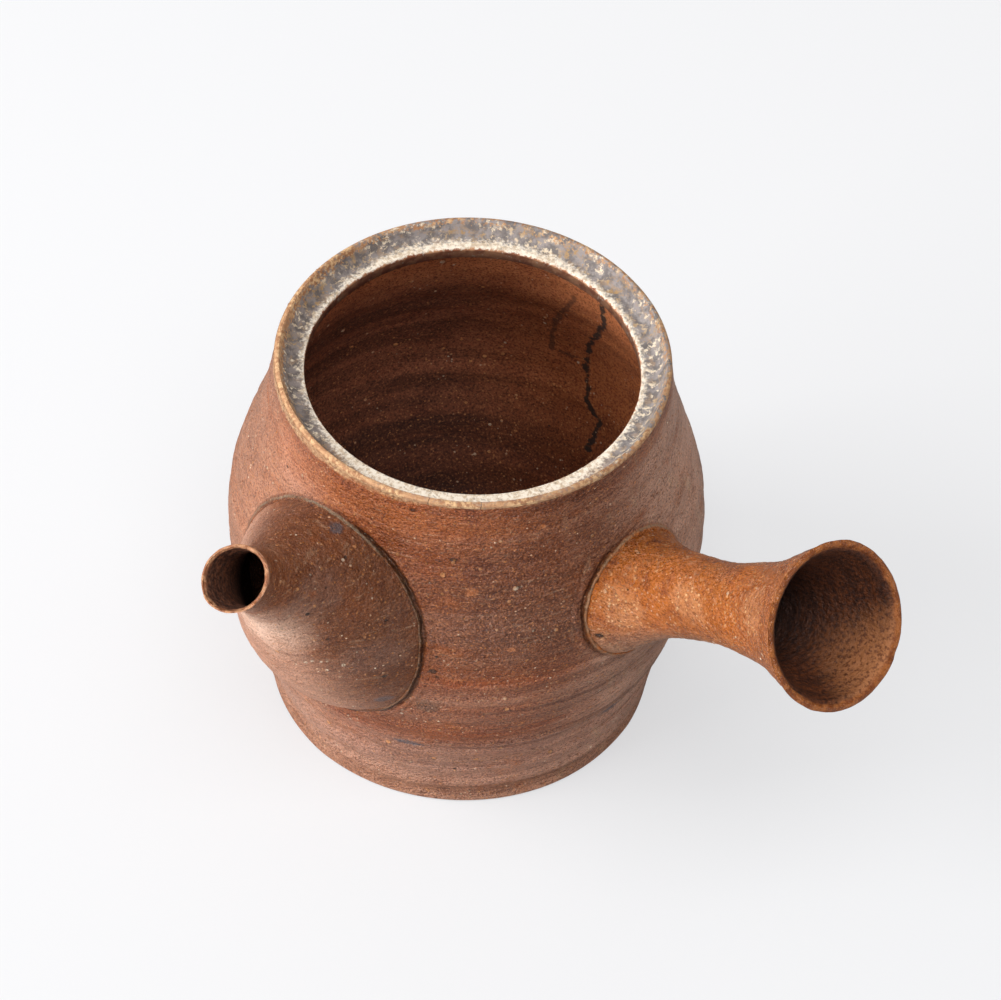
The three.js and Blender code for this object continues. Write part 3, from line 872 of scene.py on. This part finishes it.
def pot_tones(place):
    """The pot's outside: pink-tan to the left and mauve to the right, each partly painted light and sheen, iron red in
    front, burnt orange under the lip, with painted light and shade in patches and along the wheel ridges.
    """
    height = axes_of(place)[2]
    sway = scaled(clouds(place, 45, 3), 0.5, -0.25)
    # Pink-tan on the left: partly the clay's flashing, partly painted light and sheen from the lamps on that side.
    left = between(facing(place, -100, 1.0) + sway, 0.2, 0.75)
    # Mauve to the right: partly the clay's flashing, partly painted reflection of the bright room.
    right = between(facing(place, 95, 1.05) + sway, 0.15, 0.7)
    bands = clouds(place * (16, 16, 150), 1, 3, 0.6)
    front = facing(place, 12, 0.5)
    waved = scaled(clouds(place * (30, 30, 90), 1, 3), 9 * MM, height)
    fires = [
        (between(abs(waved - middle * MM), half * 1.15 * MM, half * 0.75 * MM) * front * share, fire)
        for middle, half, share, fire in FIRE_BANDS
    ]
    collar = between(scaled(sway, 14 * MM, height), 76 * MM, 85 * MM)
    dashes = between(clouds(place * (330, 330, 95), 1, 2.5, 0.6), 0.56, 0.72)
    gouges = dabs(place, WALL_GOUGES, 1.2, 0.8, 0.55)
    ridges = clouds(place * (9, 9, 290), 1, 2, 0.5)
    lines = scaled(clouds(place * (20, 20, 950), 1, 3, 0.6), 0.35, ridges * 0.65)
    # Weight of the wheel ridges, strongest low on the right: their valleys get painted shade and their crests a
    # painted highlight, partly wear; the same lines are pressed in as relief.
    strength = scaled(between(height, 58 * MM, 36 * MM) * facing(place, 75, 1.25), 0.8, 0.2)
    return layered(
        IRON_RED, (left, PINK_TAN), (right, tone(82, 63, 53.5)),
        (between(bands, 0.5, 0.66) * 0.45, MAUVE),
        (between(bands, 0.47, 0.33) * 0.55, FLAME_ORANGE),
        # Paler low on the wall: partly the clay's own tone, partly painted light and reflection from the floor below.
        (between(scaled(sway, 25 * MM, height), 32 * MM, 6 * MM) * 0.8, tone(79, 61, 53)),
        *fires,
        # A painted light patch below the handle, lifting the shade there, and a painted highlight on the left
        # shoulder.
        (dabs(place, ((640, 680, 11),), 1, 0.8, 0.4) * 0.55, tone(80, 64, 56)),
        (dabs(place, ((298, 466, 10),), 1, 0.8, 0.4) * 0.6, tone(82, 60, 50)),
        # Painted shade: darker on the front right, between 46 and 58 mm up.
        (facing(place, 24, 0.22) * between(height, 46 * MM, 58 * MM) * 0.75, tone(43, 23.5, 12.5)),
        (between(waved, 14 * MM, 8 * MM) * 0.5, tone(68, 45, 31)),
        (collar * facing(place, -24, 0.42) * 0.85, FLAME_ORANGE),
        (dashes * right * 0.45, PALE_SAND),
        (patches(place, ((409, 744, 4.6, 1.7), (618, 705, 5.5, 1.5)), 0.5) * 0.85, SLATE_BLUE),
        (patches(place, ((426, 707, 3.2, 2.6),), 0.7) * 0.6, tone(34, 27, 22)),
        (dabs(place, WALL_CHIPS, 1.2, 0.8, 0.55) * 0.7, tone(78, 47, 25)),
        # Painted shade in the ridges' valleys and a painted highlight on their crests, partly wear.
        (between(lines, 0.49, 0.41) * (strength * 0.9), 0.5),
        (between(lines, 0.52, 0.59) * (strength * 0.5), tone(74, 55, 45)),
        (gouges * 0.8, SOOT_AND_SHADE),
    ), scaled(lines * strength, -2.3, gouges)


def inner_tones(place):
    """The pot's inside: dark red-brown with wheel lines, painted light on the right and high up, painted shade low
    down, and an iron drip down the far wall.
    """
    height = axes_of(place)[2]
    stained = clouds(place * (120, 120, 200), 1, 4, 0.65)
    grain = clouds(place, 2000, 3, 0.65)
    long, *short = (
        trail(place, [seen_on_wall(*pixel, inside=True) for pixel in path], width * MM) for width, path in IRON_DRIPS
    )
    return layered(
        tone(43, 24, 15.5), (between(clouds(place * (14, 14, 190), 1, 3, 0.6), 0.36, 0.62), INNER_RED),
        # Painted light on the right of the inside and high up, and painted shade low down.
        (facing(place, 110, 0.9) * 0.75, tone(80, 46, 24)),
        (between(height, 66 * MM, 84 * MM) * 0.8, tone(86, 53, 33)),
        (between(height, 50 * MM, 18 * MM) * 0.9, 0.37),
        (between(stained, 0.54, 0.4) * 0.5, 0.6),
        (between(grain, 0.52, 0.36), 0.4),
        (between(grain, 0.56, 0.68) * 0.4, tone(80, 55, 36)),
        (most(long, most(*short) * 0.6) * 0.9, IRON_DRIP),
    )


def rim_tones(place, run, colour):
    """The lip and the lid's seat: tan lip with painted shade under it, slate band with cream blotches, then a broad
    cream band and a warm edge; painted shade on the slate to the left and where the opening turns down, painted sheen
    in the cream on the near side.
    """
    ragged = scaled(clouds(place, 330, 4, 0.65), 0.34, -0.17)
    worn = run + (ragged + scaled(clouds(place, 1500, 2, 0.6), 0.5, -0.25))
    crisp = scaled(facing(place, -75, 0.7), 0.015, scaled(ragged, 0.1, run))
    shade = between(crisp, 0.935, 0.96) * between(crisp, 0.975, 0.968)
    lip = layered(
        tone(62, 43, 29), (between(clouds(place, 1300, 3, 0.6), 0.4, 0.62), tone(85, 69, 51)),
        (between(clouds(place, 160, 3), 0.4, 0.6) * 0.7, tone(72, 53, 38)),
        (most(hairline(place, -10.0), hairline(place, 4.7)) * 0.8, CRACK_DARK_AND_GROOVE_SHADE),
    )
    blotch = mixed(between(clouds(place, 120, 2), 0.35, 0.6), OCHRE, CREAM)
    slate = layered(
        tone(44, 41, 40), (between(clouds(place, 520, 4, 0.6), 0.38, 0.6), tone(59, 55.5, 54.5)),
        # Painted shade: the slate darker towards the left.
        (facing(place, -80, 0.9) * 0.35, 0.72),
        (between(clouds(place * (1, 1, 3), 420, 4, 0.65), 0.53, 0.62) * 0.5, tone(66, 54, 42)),
        (between(clouds(place, 760, 4, 0.7), 0.52, 0.62), blotch),
    )
    cream = layered(
        tone(82, 73, 62), (between(clouds(place, 1100, 3, 0.7), 0.36, 0.56), tone(97, 92, 85)),
        (between(clouds(place, 1000, 2, 0.5), 0.6, 0.68) * 0.45, tone(45, 39, 34)),
    )
    begun = between(scaled(facing(place, -80, 0.8), -0.12, worn), 1.03, 1.12)
    # The cream reaches further out on the near side and a little on the far side: partly the seat's own cream, partly
    # painted sheen.
    nearer = scaled(facing(place, 2, 0.6), 0.3, scaled(facing(place, 180, 0.5), 0.17, worn))
    edge = mixed(between(clouds(place, 500, 3), 0.4, 0.6), tone(80, 58, 42), tone(60, 36, 24))
    return layered(
        colour, (shade * 0.5, 0.6), (between(crisp, 0.968, 0.98), lip),
        # Less slate on the near side, for the same painted sheen.
        (begun * scaled(facing(place, 0, 0.5), -0.7, 1.0), slate), (between(nearer, 1.6, 1.82), cream),
        # Painted shade where the opening's edge turns down into the pot.
        (between(worn, 1.84, 1.95), edge), (between(run, 1.97, 2.02), tone(32, 18, 12)),
    )


def clay_end(place, colour, height, rough=(0.28, 0.46), depth=0.62, marks=None, calm=None, gloss=0.55):
    """The glazeless surface: glossy where the fire caught it, drier between, with sand standing in it.

    The relief's depth is in millimetres. Marks are pressed in, and the surface is calm and matt where calm is 1.
    """
    dry = wired(place.tree, "ShaderNodeMapRange", {
        "Value": clouds(place, 95, 4, 0.6), "From Min": 0.3, "From Max": 0.7, "To Min": rough[0], "To Max": rough[1],
    }, "Result")
    dry = combined("SUBTRACT", dry, grains_in(place, 0.9, 0.26, 0.6) * 0.18, clamp=True)
    beads = wired(place.tree, "ShaderNodeTexVoronoi", {
        "Vector": place * (1, 1, 1.3), "Scale": 1 / (1.05 * MM),
    }, "Distance")
    lumps = clouds(place * (1, 1, 1.6), 360, 3, 0.6)
    relief = scaled(lumps, 1.0, clouds(place, 2500, 3, 0.6))
    relief = scaled(clouds(place * DRAGGED, 1, 3, 0.6), 0.35, relief)
    relief = scaled(height, 0.45, scaled(beads, -0.45, relief))
    if marks is not None:
        relief = scaled(marks, -2.5, relief)
    if calm is not None:
        relief = relief * scaled(calm, -0.78, 1.0)
        dry = scaled(calm, 0.8 - dry, dry)
    bump = wired(place.tree, "ShaderNodeBump", {"Height": relief, "Distance": depth * MM, "Strength": 1.0})
    shader = wired(place.tree, "ShaderNodeBsdfPrincipled", {
        "Base Color": colour, "Roughness": dry, "Normal": bump, "Specular IOR Level": gloss,
    })
    wired(place.tree, "ShaderNodeOutputMaterial", {"Surface": shader})


def pot_clay():
    material, place = clay_start("wood_fired_pot_clay")
    run = attribute(place, "run")
    outside, marks = pot_tones(place)
    outside, grain = speckled(place, fired(place, outside))
    inside, inner_grain = speckled(place, inner_tones(place), 1.1, 0.8)
    foot = mixed(between(clouds(place, 200, 3), 0.4, 0.6), tone(60, 38, 27), tone(50, 30, 20))
    colour = rim_tones(place, run, mixed(between(run, -0.01, -0.03), outside, foot))
    hidden = between(run, 2.0, 2.06)
    calm = most(hidden, between(run, LIP_RUN, 1.02))
    clay_end(place, mixed(hidden, colour, inside), grain + inner_grain, marks=marks * (1.0 - calm), calm=calm)
    return material


def spout_tones(place):
    """The spout: brown with blue-grey marks high on its side, paler and pinker low on the left with painted sheen, a
    painted highlight below the mouth and patches of painted reflection.
    """
    local, from_lip = attribute(place, "turned", "Vector"), attribute(place, "lip")
    x, y, _ = axes_of(local)
    sway = scaled(clouds(place, 70, 3), 12 * MM, -6 * MM)
    haze = between(clouds(place * (60, 60, 110), 1, 3, 0.55), 0.46, 0.64)
    # Patches of painted reflection, pinkish mauve on the spout's side.
    painted_reflection = patches(place, ((318, 596, 8, 5), (372, 660, 9, 5)), 0.5, limb=SPOUT)
    gathered = patches(place, ((322, 668, 13, 9),), 0.5, 0.2, SPOUT)
    ash = patches(place, ((337, 527, 2.0, 1.3), (384, 700, 2.6, 1.6)), limb=SPOUT)
    return layered(
        SPOUT_BROWN, (between(clouds(place, 110, 3, 0.55), 0.42, 0.62) * 0.6, tone(52, 28, 12)),
        (haze * 0.25, tone(54, 39, 31.5)),
        (painted_reflection * 0.4, tone(55, 40, 33.5)),
        # Paler and pinker low on the left: painted sheen.
        (between(scaled(x, 0.8, y) + sway, 4 * MM, -16 * MM) * 0.85, tone(80, 60, 50)),
        # A painted highlight on the spout's left side just below the mouth.
        (patches(place, ((256, 626, 15, 14),), 0.12, 0.1, SPOUT) * 0.85, tone(96, 81, 72)),
        (between(from_lip, 9, 1) * 0.5, tone(57, 36, 25)),
        (between(scaled(clouds(place, 500, 3), -1.6, from_lip), 0.9, -0.1) * 0.8, tone(84, 64, 52)),
        (between(clouds(local * (30, 30, 900), 1, 2.5, 0.6), 0.5, 0.3) * 0.35, DEEP_RED),
        (grains_in(place, 1.5, 0.42, gathered * 0.6) * 0.7, CREAM),
        (ash * 0.75, SLATE_BLUE),
    )


def handle_tones(place):
    """The handle: glossier orange, redder towards the flare and on top, tan underneath, with painted sheen and painted
    glints along its lit side.
    """
    local, from_lip = attribute(place, "turned", "Vector"), attribute(place, "lip")
    sway = scaled(clouds(place, 60, 3), 9 * MM, -4.5 * MM)
    # Patches of painted sheen where the lamp's light catches the handle; painted glints are scattered over them.
    sheen = patches(place, ((622, 612, 7, 6), (752, 612, 6, 6), (686, 604, 7, 4)), 0.6, limb=HANDLE)
    return layered(
        HANDLE_ORANGE, (between(axes_of(local)[1] + sway, 1 * MM, -10 * MM) * 0.8, tone(74, 56, 45)),
        (between(from_lip, 24, 6) * 0.5, tone(62, 36, 22)),
        (between(clouds(local * (30, 30, 1100), 1, 2.5, 0.6), 0.5, 0.3) * 0.3, DEEP_RED),
        (between(from_lip, 3.6, 1.2) * 0.6, tone(76, 46, 23)),
        (between(clouds(place, 420, 3, 0.6), 0.5, 0.36) * 0.6, 0.66),
        (sheen * 0.38, tone(88, 63, 44)),
        (grains_in(place, 0.8, 0.3, 0.6) * scaled(sheen, 0.3, 0.35), tone(98, 82, 60)),
    )


def limb_clay(name, limb, tones, pits, lip, inner, rough, depth, gloss, grainy):
    """Clay of a hollow limb: its own tones outside, a pale lip, and wheel lines in its dark inside, with painted light
    on the inside's lower right and painted shade deeper in.
    """
    material, place = clay_start(name)
    hollow, local = attribute(place, "hollow"), attribute(place, "turned", "Vector")
    outside, grain = speckled(place, fired(place, tones(place), grainy), 1.1, 1.2)
    holed = dabs(place, pits, 1, 0.7, 0.6, limb)
    inner_grain = clouds(place, 1300, 3, 0.65)
    x, y, z = axes_of(local)
    inside = layered(
        inner[0], (between(clouds(local * (40, 40, 1500), 1, 3, 0.6), 0.3, 0.7), inner[1]),
        (between(inner_grain, 0.55, 0.68) * 0.45, lip[0]),
        # Painted light on the lower right of the inside.
        (between(y + x * -0.5, -8 * MM, -17 * MM) * 0.85, tone(86, 56, 34)),
        (between(inner_grain, 0.52, 0.38), 0.45),
        # Painted shade: darker deeper inside the limb.
        (between(z, -5 * MM, -26 * MM) * 0.75, SOOT_AND_SHADE),
    )
    worn = scaled(clouds(place, 420, 3), 0.3, -0.15)
    rim = mixed(between(clouds(place, 600, 3), 0.42, 0.6), *lip)
    within = between(scaled(worn, 4.0, attribute(place, "lip")), 0.25, 1.0) * (hollow > 0.5)
    colour = layered(outside, (holed * 0.85, SOOT_AND_SHADE), (between(hollow + worn, 0.03, 0.12), rim), (within, inside))
    clay_end(place, colour, grain, rough, depth, holed, between(hollow, 0.6, 0.95) * 0.6, gloss)
    return material


def luting_clay(name, limb_tone):
    """The clay smeared into a seam: the limb's tone fading into the pot's, a slip line, painted shade along the corner
    and in the open groove, and a painted highlight on the limb's edge.
    """
    material, place = clay_start(name)
    gap = scaled(clouds(place, 380, 4, 0.65), 0.9, attribute(place, "gap") - 0.45)
    opened = attribute(place, "opened")
    colour = mixed(between(gap, -0.5, 0.9), limb_tone, pot_tones(place)[0])
    colour, grain = speckled(place, fired(place, colour))
    broken = between(clouds(place, 170, 4, 0.65), 0.36, 0.52)
    slip = between(abs(gap + 0.25), 0.5, 0.2) * broken * between(opened, 1.7, 0.2)
    middle = abs(gap + scaled(clouds(place, 900, 3, 0.7), 0.9, -0.45) - 0.4)
    width = scaled(clouds(place, 160, 4), 1.5, -0.5)
    # Painted shade in the open groove.
    groove = between(middle - width * opened, 0.5, -0.15) * between(opened, 0.05, 0.4)
    patchy = scaled(between(clouds(place, 130, 3), 0.4, 0.58), 0.4, 0.3)
    # A painted highlight along the limb's raised edge beside the groove.
    burr = between(abs(gap + 0.75), 0.4, 0.1) * opened
    colour = layered(
        # Painted shade along the corner where the limb meets the wall.
        colour, (slip * 0.5, SLIP_GREEN), (between(abs(gap - 0.4), 0.45, 0.15) * 0.5, 0.5),
        (groove * patchy, CRACK_DARK_AND_GROOVE_SHADE), (burr * 0.25, tone(70, 50, 36)),
    )
    clay_end(place, colour, grain, marks=groove)
    return material


def strainer_clay():
    """The strainer's clay: smooth, matt and dark, with a little sand."""
    material, place = clay_start("strainer_clay")
    colour = mixed(between(clouds(place, 120, 4, 0.6), 0.35, 0.65), tone(36, 21, 15.5), INNER_RED)
    colour, grain = speckled(place, colour, 0.5, 0.6)
    clay_end(place, colour, grain, (0.55, 0.7), 0.1)
    return material


def grit_clay():
    """Grains of feldspar: tan to cream, a little glossier than the clay round them."""
    material, place = clay_start("feldspar_grit")
    colour = wired(place.tree, "ShaderNodeValToRGB", {"Fac": clouds(place, 300, 1)}, "Color")
    stops = colour.socket.node.color_ramp.elements
    stops.new(1)
    for stop, position, paint in zip(stops, (0.35, 0.55, 0.75), (tone(50, 29, 18), tone(68, 46, 30), CREAM)):
        stop.position = position
        stop.color = (*paint, 1)
    clay_end(place, colour, clouds(place, 2500, 2), (0.35, 0.5), 0.05)
    return material


# ---- Making the pieces ----
made = []


def finished(piece, node, slot_name):
    """A piece of the teapot and the node that it stands for, with a slot name that is kept but not used."""
    made.append((piece, node, slot_name))


def given_clay(mesh, clay):
    mesh.materials.clear()
    mesh.materials.append(clay)
    return mesh


# The pot, thrown from its outline and opened behind the spout
points, run, relief = pot_outline()
outline = helper_points(
    "pot_outline", [(r, 0, z) for r, z in points],
    run=run, relief=relief, facing=[(x, 0, z) for x, z in normals_of(points)],
)
pot_material = pot_clay()
pot = grown("thrown_pot", bpy.data.meshes.new("start"), thrown_form(), {
    "Outline": outline, "Steps": len(points), "Sides": 288, "Ring Spacing": 6.2 * MM, "Ring Depth": RING_DEPTH,
    "Wobble": 0.25 * MM, "Sandiness": 0.32 * MM, "Seed": 3.0, "Clay": pot_material,
})
turn_faces_out(pot.data)

port_out = outward(SPOUT["azimuth"])
port_height = POT_HEIGHT - SPOUT["drop"] - PORT_DROP
port = helper_points("port", [port_out * 44 * MM + UP * port_height], through=[tuple(port_out)])
pierced = pierced_form()
pot_open = grown("pot_body", pot.data, pierced, {
    "Holes": port, "Hole Radius": PORT_RADIUS, "Hole Length": 26 * MM, "Hole Sides": 72, "Clay": pot_material,
})
for helper in (pot, outline, port):
    bpy.data.objects.remove(helper)
finished(pot_open, "pot", "pot_clay")

# The spout and the handle, turned hollow and saddled on the wall
turned = turned_surface()
spout_material = limb_clay(
    "spout_clay", SPOUT, spout_tones, SPOUT_PITS, lip=(tone(62, 38, 24), tone(78, 56, 40)),
    inner=(tone(26, 15, 10), tone(44, 26, 17)), rough=(0.3, 0.44), depth=0.5, gloss=0.6, grainy=0.65,
)
handle_material = limb_clay(
    "handle_clay", HANDLE, handle_tones, HANDLE_PITS, lip=(tone(60, 32, 14), tone(76, 45, 22)),
    inner=(tone(29, 12.5, 2), tone(44, 21.5, 5)), rough=(0.18, 0.32), depth=0.75, gloss=0.65, grainy=0.9,
)
spout_mesh, *spout_seam = limb_mesh(
    SPOUT, "spout_form", sides=252, outer_rows=110, inner_rows=60, lip_wave=[(2, 0.25, 0.4), (5, 0.15, 2.0)],
    chips=[(-38, 13, 0.6), (-24, 7, 0.3), (140, 8, 0.3)],
)
spout = grown("spout_cone", spout_mesh, turned, {
    "Ring Spacing": 2.1 * MM, "Ring Depth": 0.16 * MM, "Wobble": 0.2 * MM, "Sandiness": 0.2 * MM, "Seed": 7.0,
    "Clay": spout_material,
})
finished(spout, "spout", "spout_clay")
handle_mesh, *handle_seam = limb_mesh(
    HANDLE, "handle_form", sides=228, outer_rows=120, inner_rows=90, lip_wave=[(2, 0.3, 1.1), (3, 0.2, 0.3)],
    chips=[(200, 6, 0.3), (252, 5, 0.35), (310, 4, 0.35)],
)
handle = grown("handle_trumpet", handle_mesh, turned, {
    "Ring Spacing": 2.8 * MM, "Ring Depth": 0.14 * MM, "Wobble": 0.25 * MM, "Sandiness": 0.3 * MM, "Seed": 11.0,
    "Clay": handle_material,
})
finished(handle, "handle", "handle_clay")

# The clay smeared into the two seams: sizes in millimetres by the angle round the limb
pot_open.data.calc_loop_triangles()
wall_skin = BVHTree.FromPolygons(
    [v.co[:] for v in pot_open.data.vertices], [tuple(t.vertices) for t in pot_open.data.loop_triangles],
)
spout_strip = seam_strip(
    SPOUT, "spout_seam", *spout_seam, wall_skin,
    up_limb=[(0, 0.4), (60, 0.5), (120, 0.9), (200, 1.6), (270, 2.0), (310, 0.6)],
    on_wall=[(0, 0.3), (60, 0.4), (120, 0.8), (200, 1.8), (270, 2.2), (310, 0.5)],
    ridge=[(0, 0.5), (60, 0.4), (110, 0.1), (200, 0), (270, 0.1), (320, 0.45)],
    opened=[(0, 1), (40, 1), (75, 0.15), (110, 0), (270, 0), (300, 0.5), (320, 1)],
)
handle_strip = seam_strip(
    HANDLE, "handle_seam", *handle_seam, wall_skin,
    up_limb=[(0, 1.4), (90, 0.8), (150, 0.4), (220, 0.5), (270, 1.5)],
    on_wall=[(0, 1.4), (90, 0.8), (150, 0.4), (220, 0.4), (270, 1.6)],
    ridge=[(0, 0.0), (120, 0.25), (180, 0.4), (230, 0.2), (270, 0)],
    opened=[(0, 0), (75, 0), (110, 0.2), (140, 0.3), (200, 0.3), (235, 0.1), (255, 0)],
)
for strip, node, limb_tone in (
    (spout_strip, "spout_luting", SPOUT_BROWN), (handle_strip, "handle_luting", HANDLE_ORANGE),
):
    clay = luting_clay(node + "_clay", limb_tone)
    finished(placed(strip.name, given_clay(strip, clay)), node, "luting_clay")


# The strainer: a dome on the inner wall, pierced with rings of holes
def dome_places(radius, lean, angle):
    level = np.cross(UP, port_out)
    centre = port_out * (wall_radius(port_height) + DOME_RADIUS - DOME_DEPTH - POT_WALL) + UP * port_height
    radius, lean, angle = (value[..., None] for value in np.broadcast_arrays(radius, lean, angle))
    across = np.cos(angle) * level + np.sin(angle) * UP
    return centre + radius * (np.sin(lean) * across - np.cos(lean) * port_out)


def dome_edge(radius, angles, sunk):
    """The lean at which the dome of a radius runs into the inner wall, and sinks that far into it."""
    leans = np.linspace(0.3, 1.5, 600)
    places = dome_places(radius, leans[:, None], angles[None, :])
    inside = np.hypot(places[..., 0], places[..., 1]) < wall_radius(places[..., 2], INNER_WALL) + sunk
    return leans[np.argmin(inside, axis=0)]


def strainer_mesh(angles, rows=26):
    rings = []
    for radius, parts in ((DOME_RADIUS, np.linspace(0, 1, rows)), (DOME_RADIUS - DOME_WALL, np.linspace(1, 0, rows))):
        edge = dome_edge(radius, angles, 1 * MM)
        rings += [dome_places(radius, edge * part, angles) for part in parts]
    return looped_mesh("strainer_form", np.array(rings), closed=False)


def strainer_seam(angles):
    """A fillet of clay round the dome's foot on the inner wall."""
    edge = dome_edge(DOME_RADIUS, angles, 0)
    wander = 1 + 0.25 * np.sin(angles * 6 + 0.5) + 0.15 * np.sin(angles * 14)
    start = dome_places(DOME_RADIUS + 0.02 * MM, edge - 1.5 * MM * wander / DOME_RADIUS, angles)
    seam = dome_places(DOME_RADIUS, edge, angles)
    finish = dome_places(DOME_RADIUS + 2 * MM * wander, edge, angles)

    def spread(places, by):
        return places * (1 - UP) * by + places * UP

    ring = np.hypot(finish[:, 0], finish[:, 1])
    finish = spread(finish, (wall_radius(finish[:, 2], INNER_WALL) / ring)[:, None])
    rows = [dome_places(DOME_RADIUS - 0.7 * MM, edge - 1.2 * MM / DOME_RADIUS, angles)]
    rows += [on_bow(start, seam, finish, part) for part in np.linspace(0, 1, 9)]
    rows += [spread(finish, 1.02), spread(seam, 1.03)]
    return looped_mesh("strainer_seam", np.array(rows))


holes, through = [], []
for ring in range(HOLE_RINGS + 1):
    lean = ring * HOLE_STEP * math.acos(1 - DOME_DEPTH / DOME_RADIUS)
    count = max(ring * 6, 1)
    for angle in (math.tau * i / count for i in range(count)):
        hole, centre = (dome_places(radius, lean, angle) for radius in (DOME_RADIUS - DOME_WALL / 2, 0))
        holes.append(hole)
        through.append((hole - centre) / np.linalg.norm(hole - centre))
hole_points = helper_points("strainer_holes", holes, through=through)
dome_angles = np.linspace(0, math.tau, 120, endpoint=False)
strainer = grown("strainer_dome", strainer_mesh(dome_angles), pierced, {
    "Holes": hole_points, "Hole Radius": HOLE_RADIUS, "Hole Length": 3 * DOME_WALL, "Hole Sides": 20,
    "Clay": strainer_clay(),
})
bpy.data.objects.remove(hole_points)
finished(strainer, "strainer", "strainer_clay")
fillet = given_clay(strainer_seam(dome_angles), strainer_clay())
finished(placed("strainer_seam", fillet), "strainer_luting", "luting_clay")

# Feldspar grains that stand out of the outside walls
scatter, grit_material = grit_scatter(), grit_clay()
pot_run = values_of(pot_open.data, "run")
for piece, name, share, density, seed in (
    (pot_open, "pot", (pot_run > 0.02) & (pot_run < 1.0), 70000.0, 5),
    (spout, "spout", values_of(spout.data, "hollow") < 0.1, 60000.0, 6),
    (handle, "handle", values_of(handle.data, "hollow") < 0.1, 50000.0, 8),
):
    mesh = piece.data.copy()
    set_value(mesh, "grit", share)
    grit = grown(name + "_grit", mesh, scatter, {
        "Grains Per Square Metre": density, "Least Size": 0.1 * MM, "Most Size": 0.27 * MM, "Seed": seed,
        "Clay": grit_material,
    })
    finished(grit, None, name + "_clay")

for piece, node, slot_name in made:
    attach(piece, "root")
    if node:
        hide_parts(node)


# ---- Floor, light and camera ----
POT_MIDDLE = Vector((0, 0, 50 * MM))


def floor_card(half=4.0):
    """A pale paper floor, paler towards the back with painted light, dimmer in the clay's reflections than to the
    camera.
    """
    mesh = bpy.data.meshes.new("floor")
    mesh.from_pydata([(-half, -half, 0), (half, -half, 0), (half, half, 0), (-half, half, 0)], [], [(0, 1, 2, 3)])
    material, place = clay_start("floor_paper")
    tree = place.tree
    # Painted light: the paper paler towards the back.
    colour = mixed(between(axes_of(place)[1], -0.17, 0.15), (0.61, 0.615, 0.625), (0.69, 0.69, 0.70))
    paper = wired(tree, "ShaderNodeBsdfPrincipled", {
        "Base Color": colour, "Roughness": 0.9, "Specular IOR Level": 0.1,
    })
    glow = wired(tree, "ShaderNodeEmission", {"Color": (0.98, 0.985, 1, 1), "Strength": 1.12})
    to_camera = wired(tree, "ShaderNodeLightPath", output="Is Camera Ray")
    lit = wired(tree, "ShaderNodeMixShader", {0: to_camera * 0.5, 1: paper, 2: glow})
    dim = wired(tree, "ShaderNodeBsdfDiffuse", {"Color": (0.1, 0.09, 0.08, 1)})
    both = wired(tree, "ShaderNodeMixShader", {0: to_camera.out("Is Glossy Ray") * 0.6, 1: lit, 2: dim})
    wired(tree, "ShaderNodeOutputMaterial", {"Surface": both})
    card = placed("floor", given_clay(mesh, material))


def lamp(name, direction, distance, size, level):
    """A square soft lamp, aimed at the pot, that lights a white card facing it to a level."""
    light = bpy.data.lights.new(name, "AREA")
    light.shape = "SQUARE"
    light.size = size
    light.energy = level * math.pi**2 * distance**2
    direction = Vector(direction).normalized()
    turn = direction.to_track_quat("Z", "Y").to_matrix().to_4x4()
    placed(name, light).matrix_world = Matrix.Translation(direction * distance + POT_MIDDLE) @ turn


floor_card()
lamp("window", (-0.78, -0.1, 0.62), distance=1.3, size=0.55, level=0.54)
lamp("ceiling", (0.1, -0.45, 0.9), distance=1.6, size=0.9, level=0.42)
lamp("low_window", (-0.9, -0.5, 0.13), distance=1.1, size=0.55, level=0.95)

# The room: white to the camera, dimmer on the clay and dimmest in its reflections
world = bpy.data.worlds.new("room")
world.use_nodes = True
world.node_tree.nodes.clear()
seen = wired(world.node_tree, "ShaderNodeLightPath", output="Is Camera Ray")
level = scaled(seen.out("Is Glossy Ray"), -0.3, scaled(seen, 0.58, 0.42))
glow = wired(world.node_tree, "ShaderNodeBackground", {"Color": (1, 1, 1, 1), "Strength": level})
wired(world.node_tree, "ShaderNodeOutputWorld", {"Surface": glow})
bpy.context.scene.world = world

lens = bpy.data.cameras.new("photo_camera")
lens.lens, lens.sensor_width = LENS, SENSOR
camera = placed("photo_camera", lens)
camera.matrix_world = CAMERA
bpy.context.scene.camera = camera
bpy.context.scene.view_settings.view_transform = "Standard"
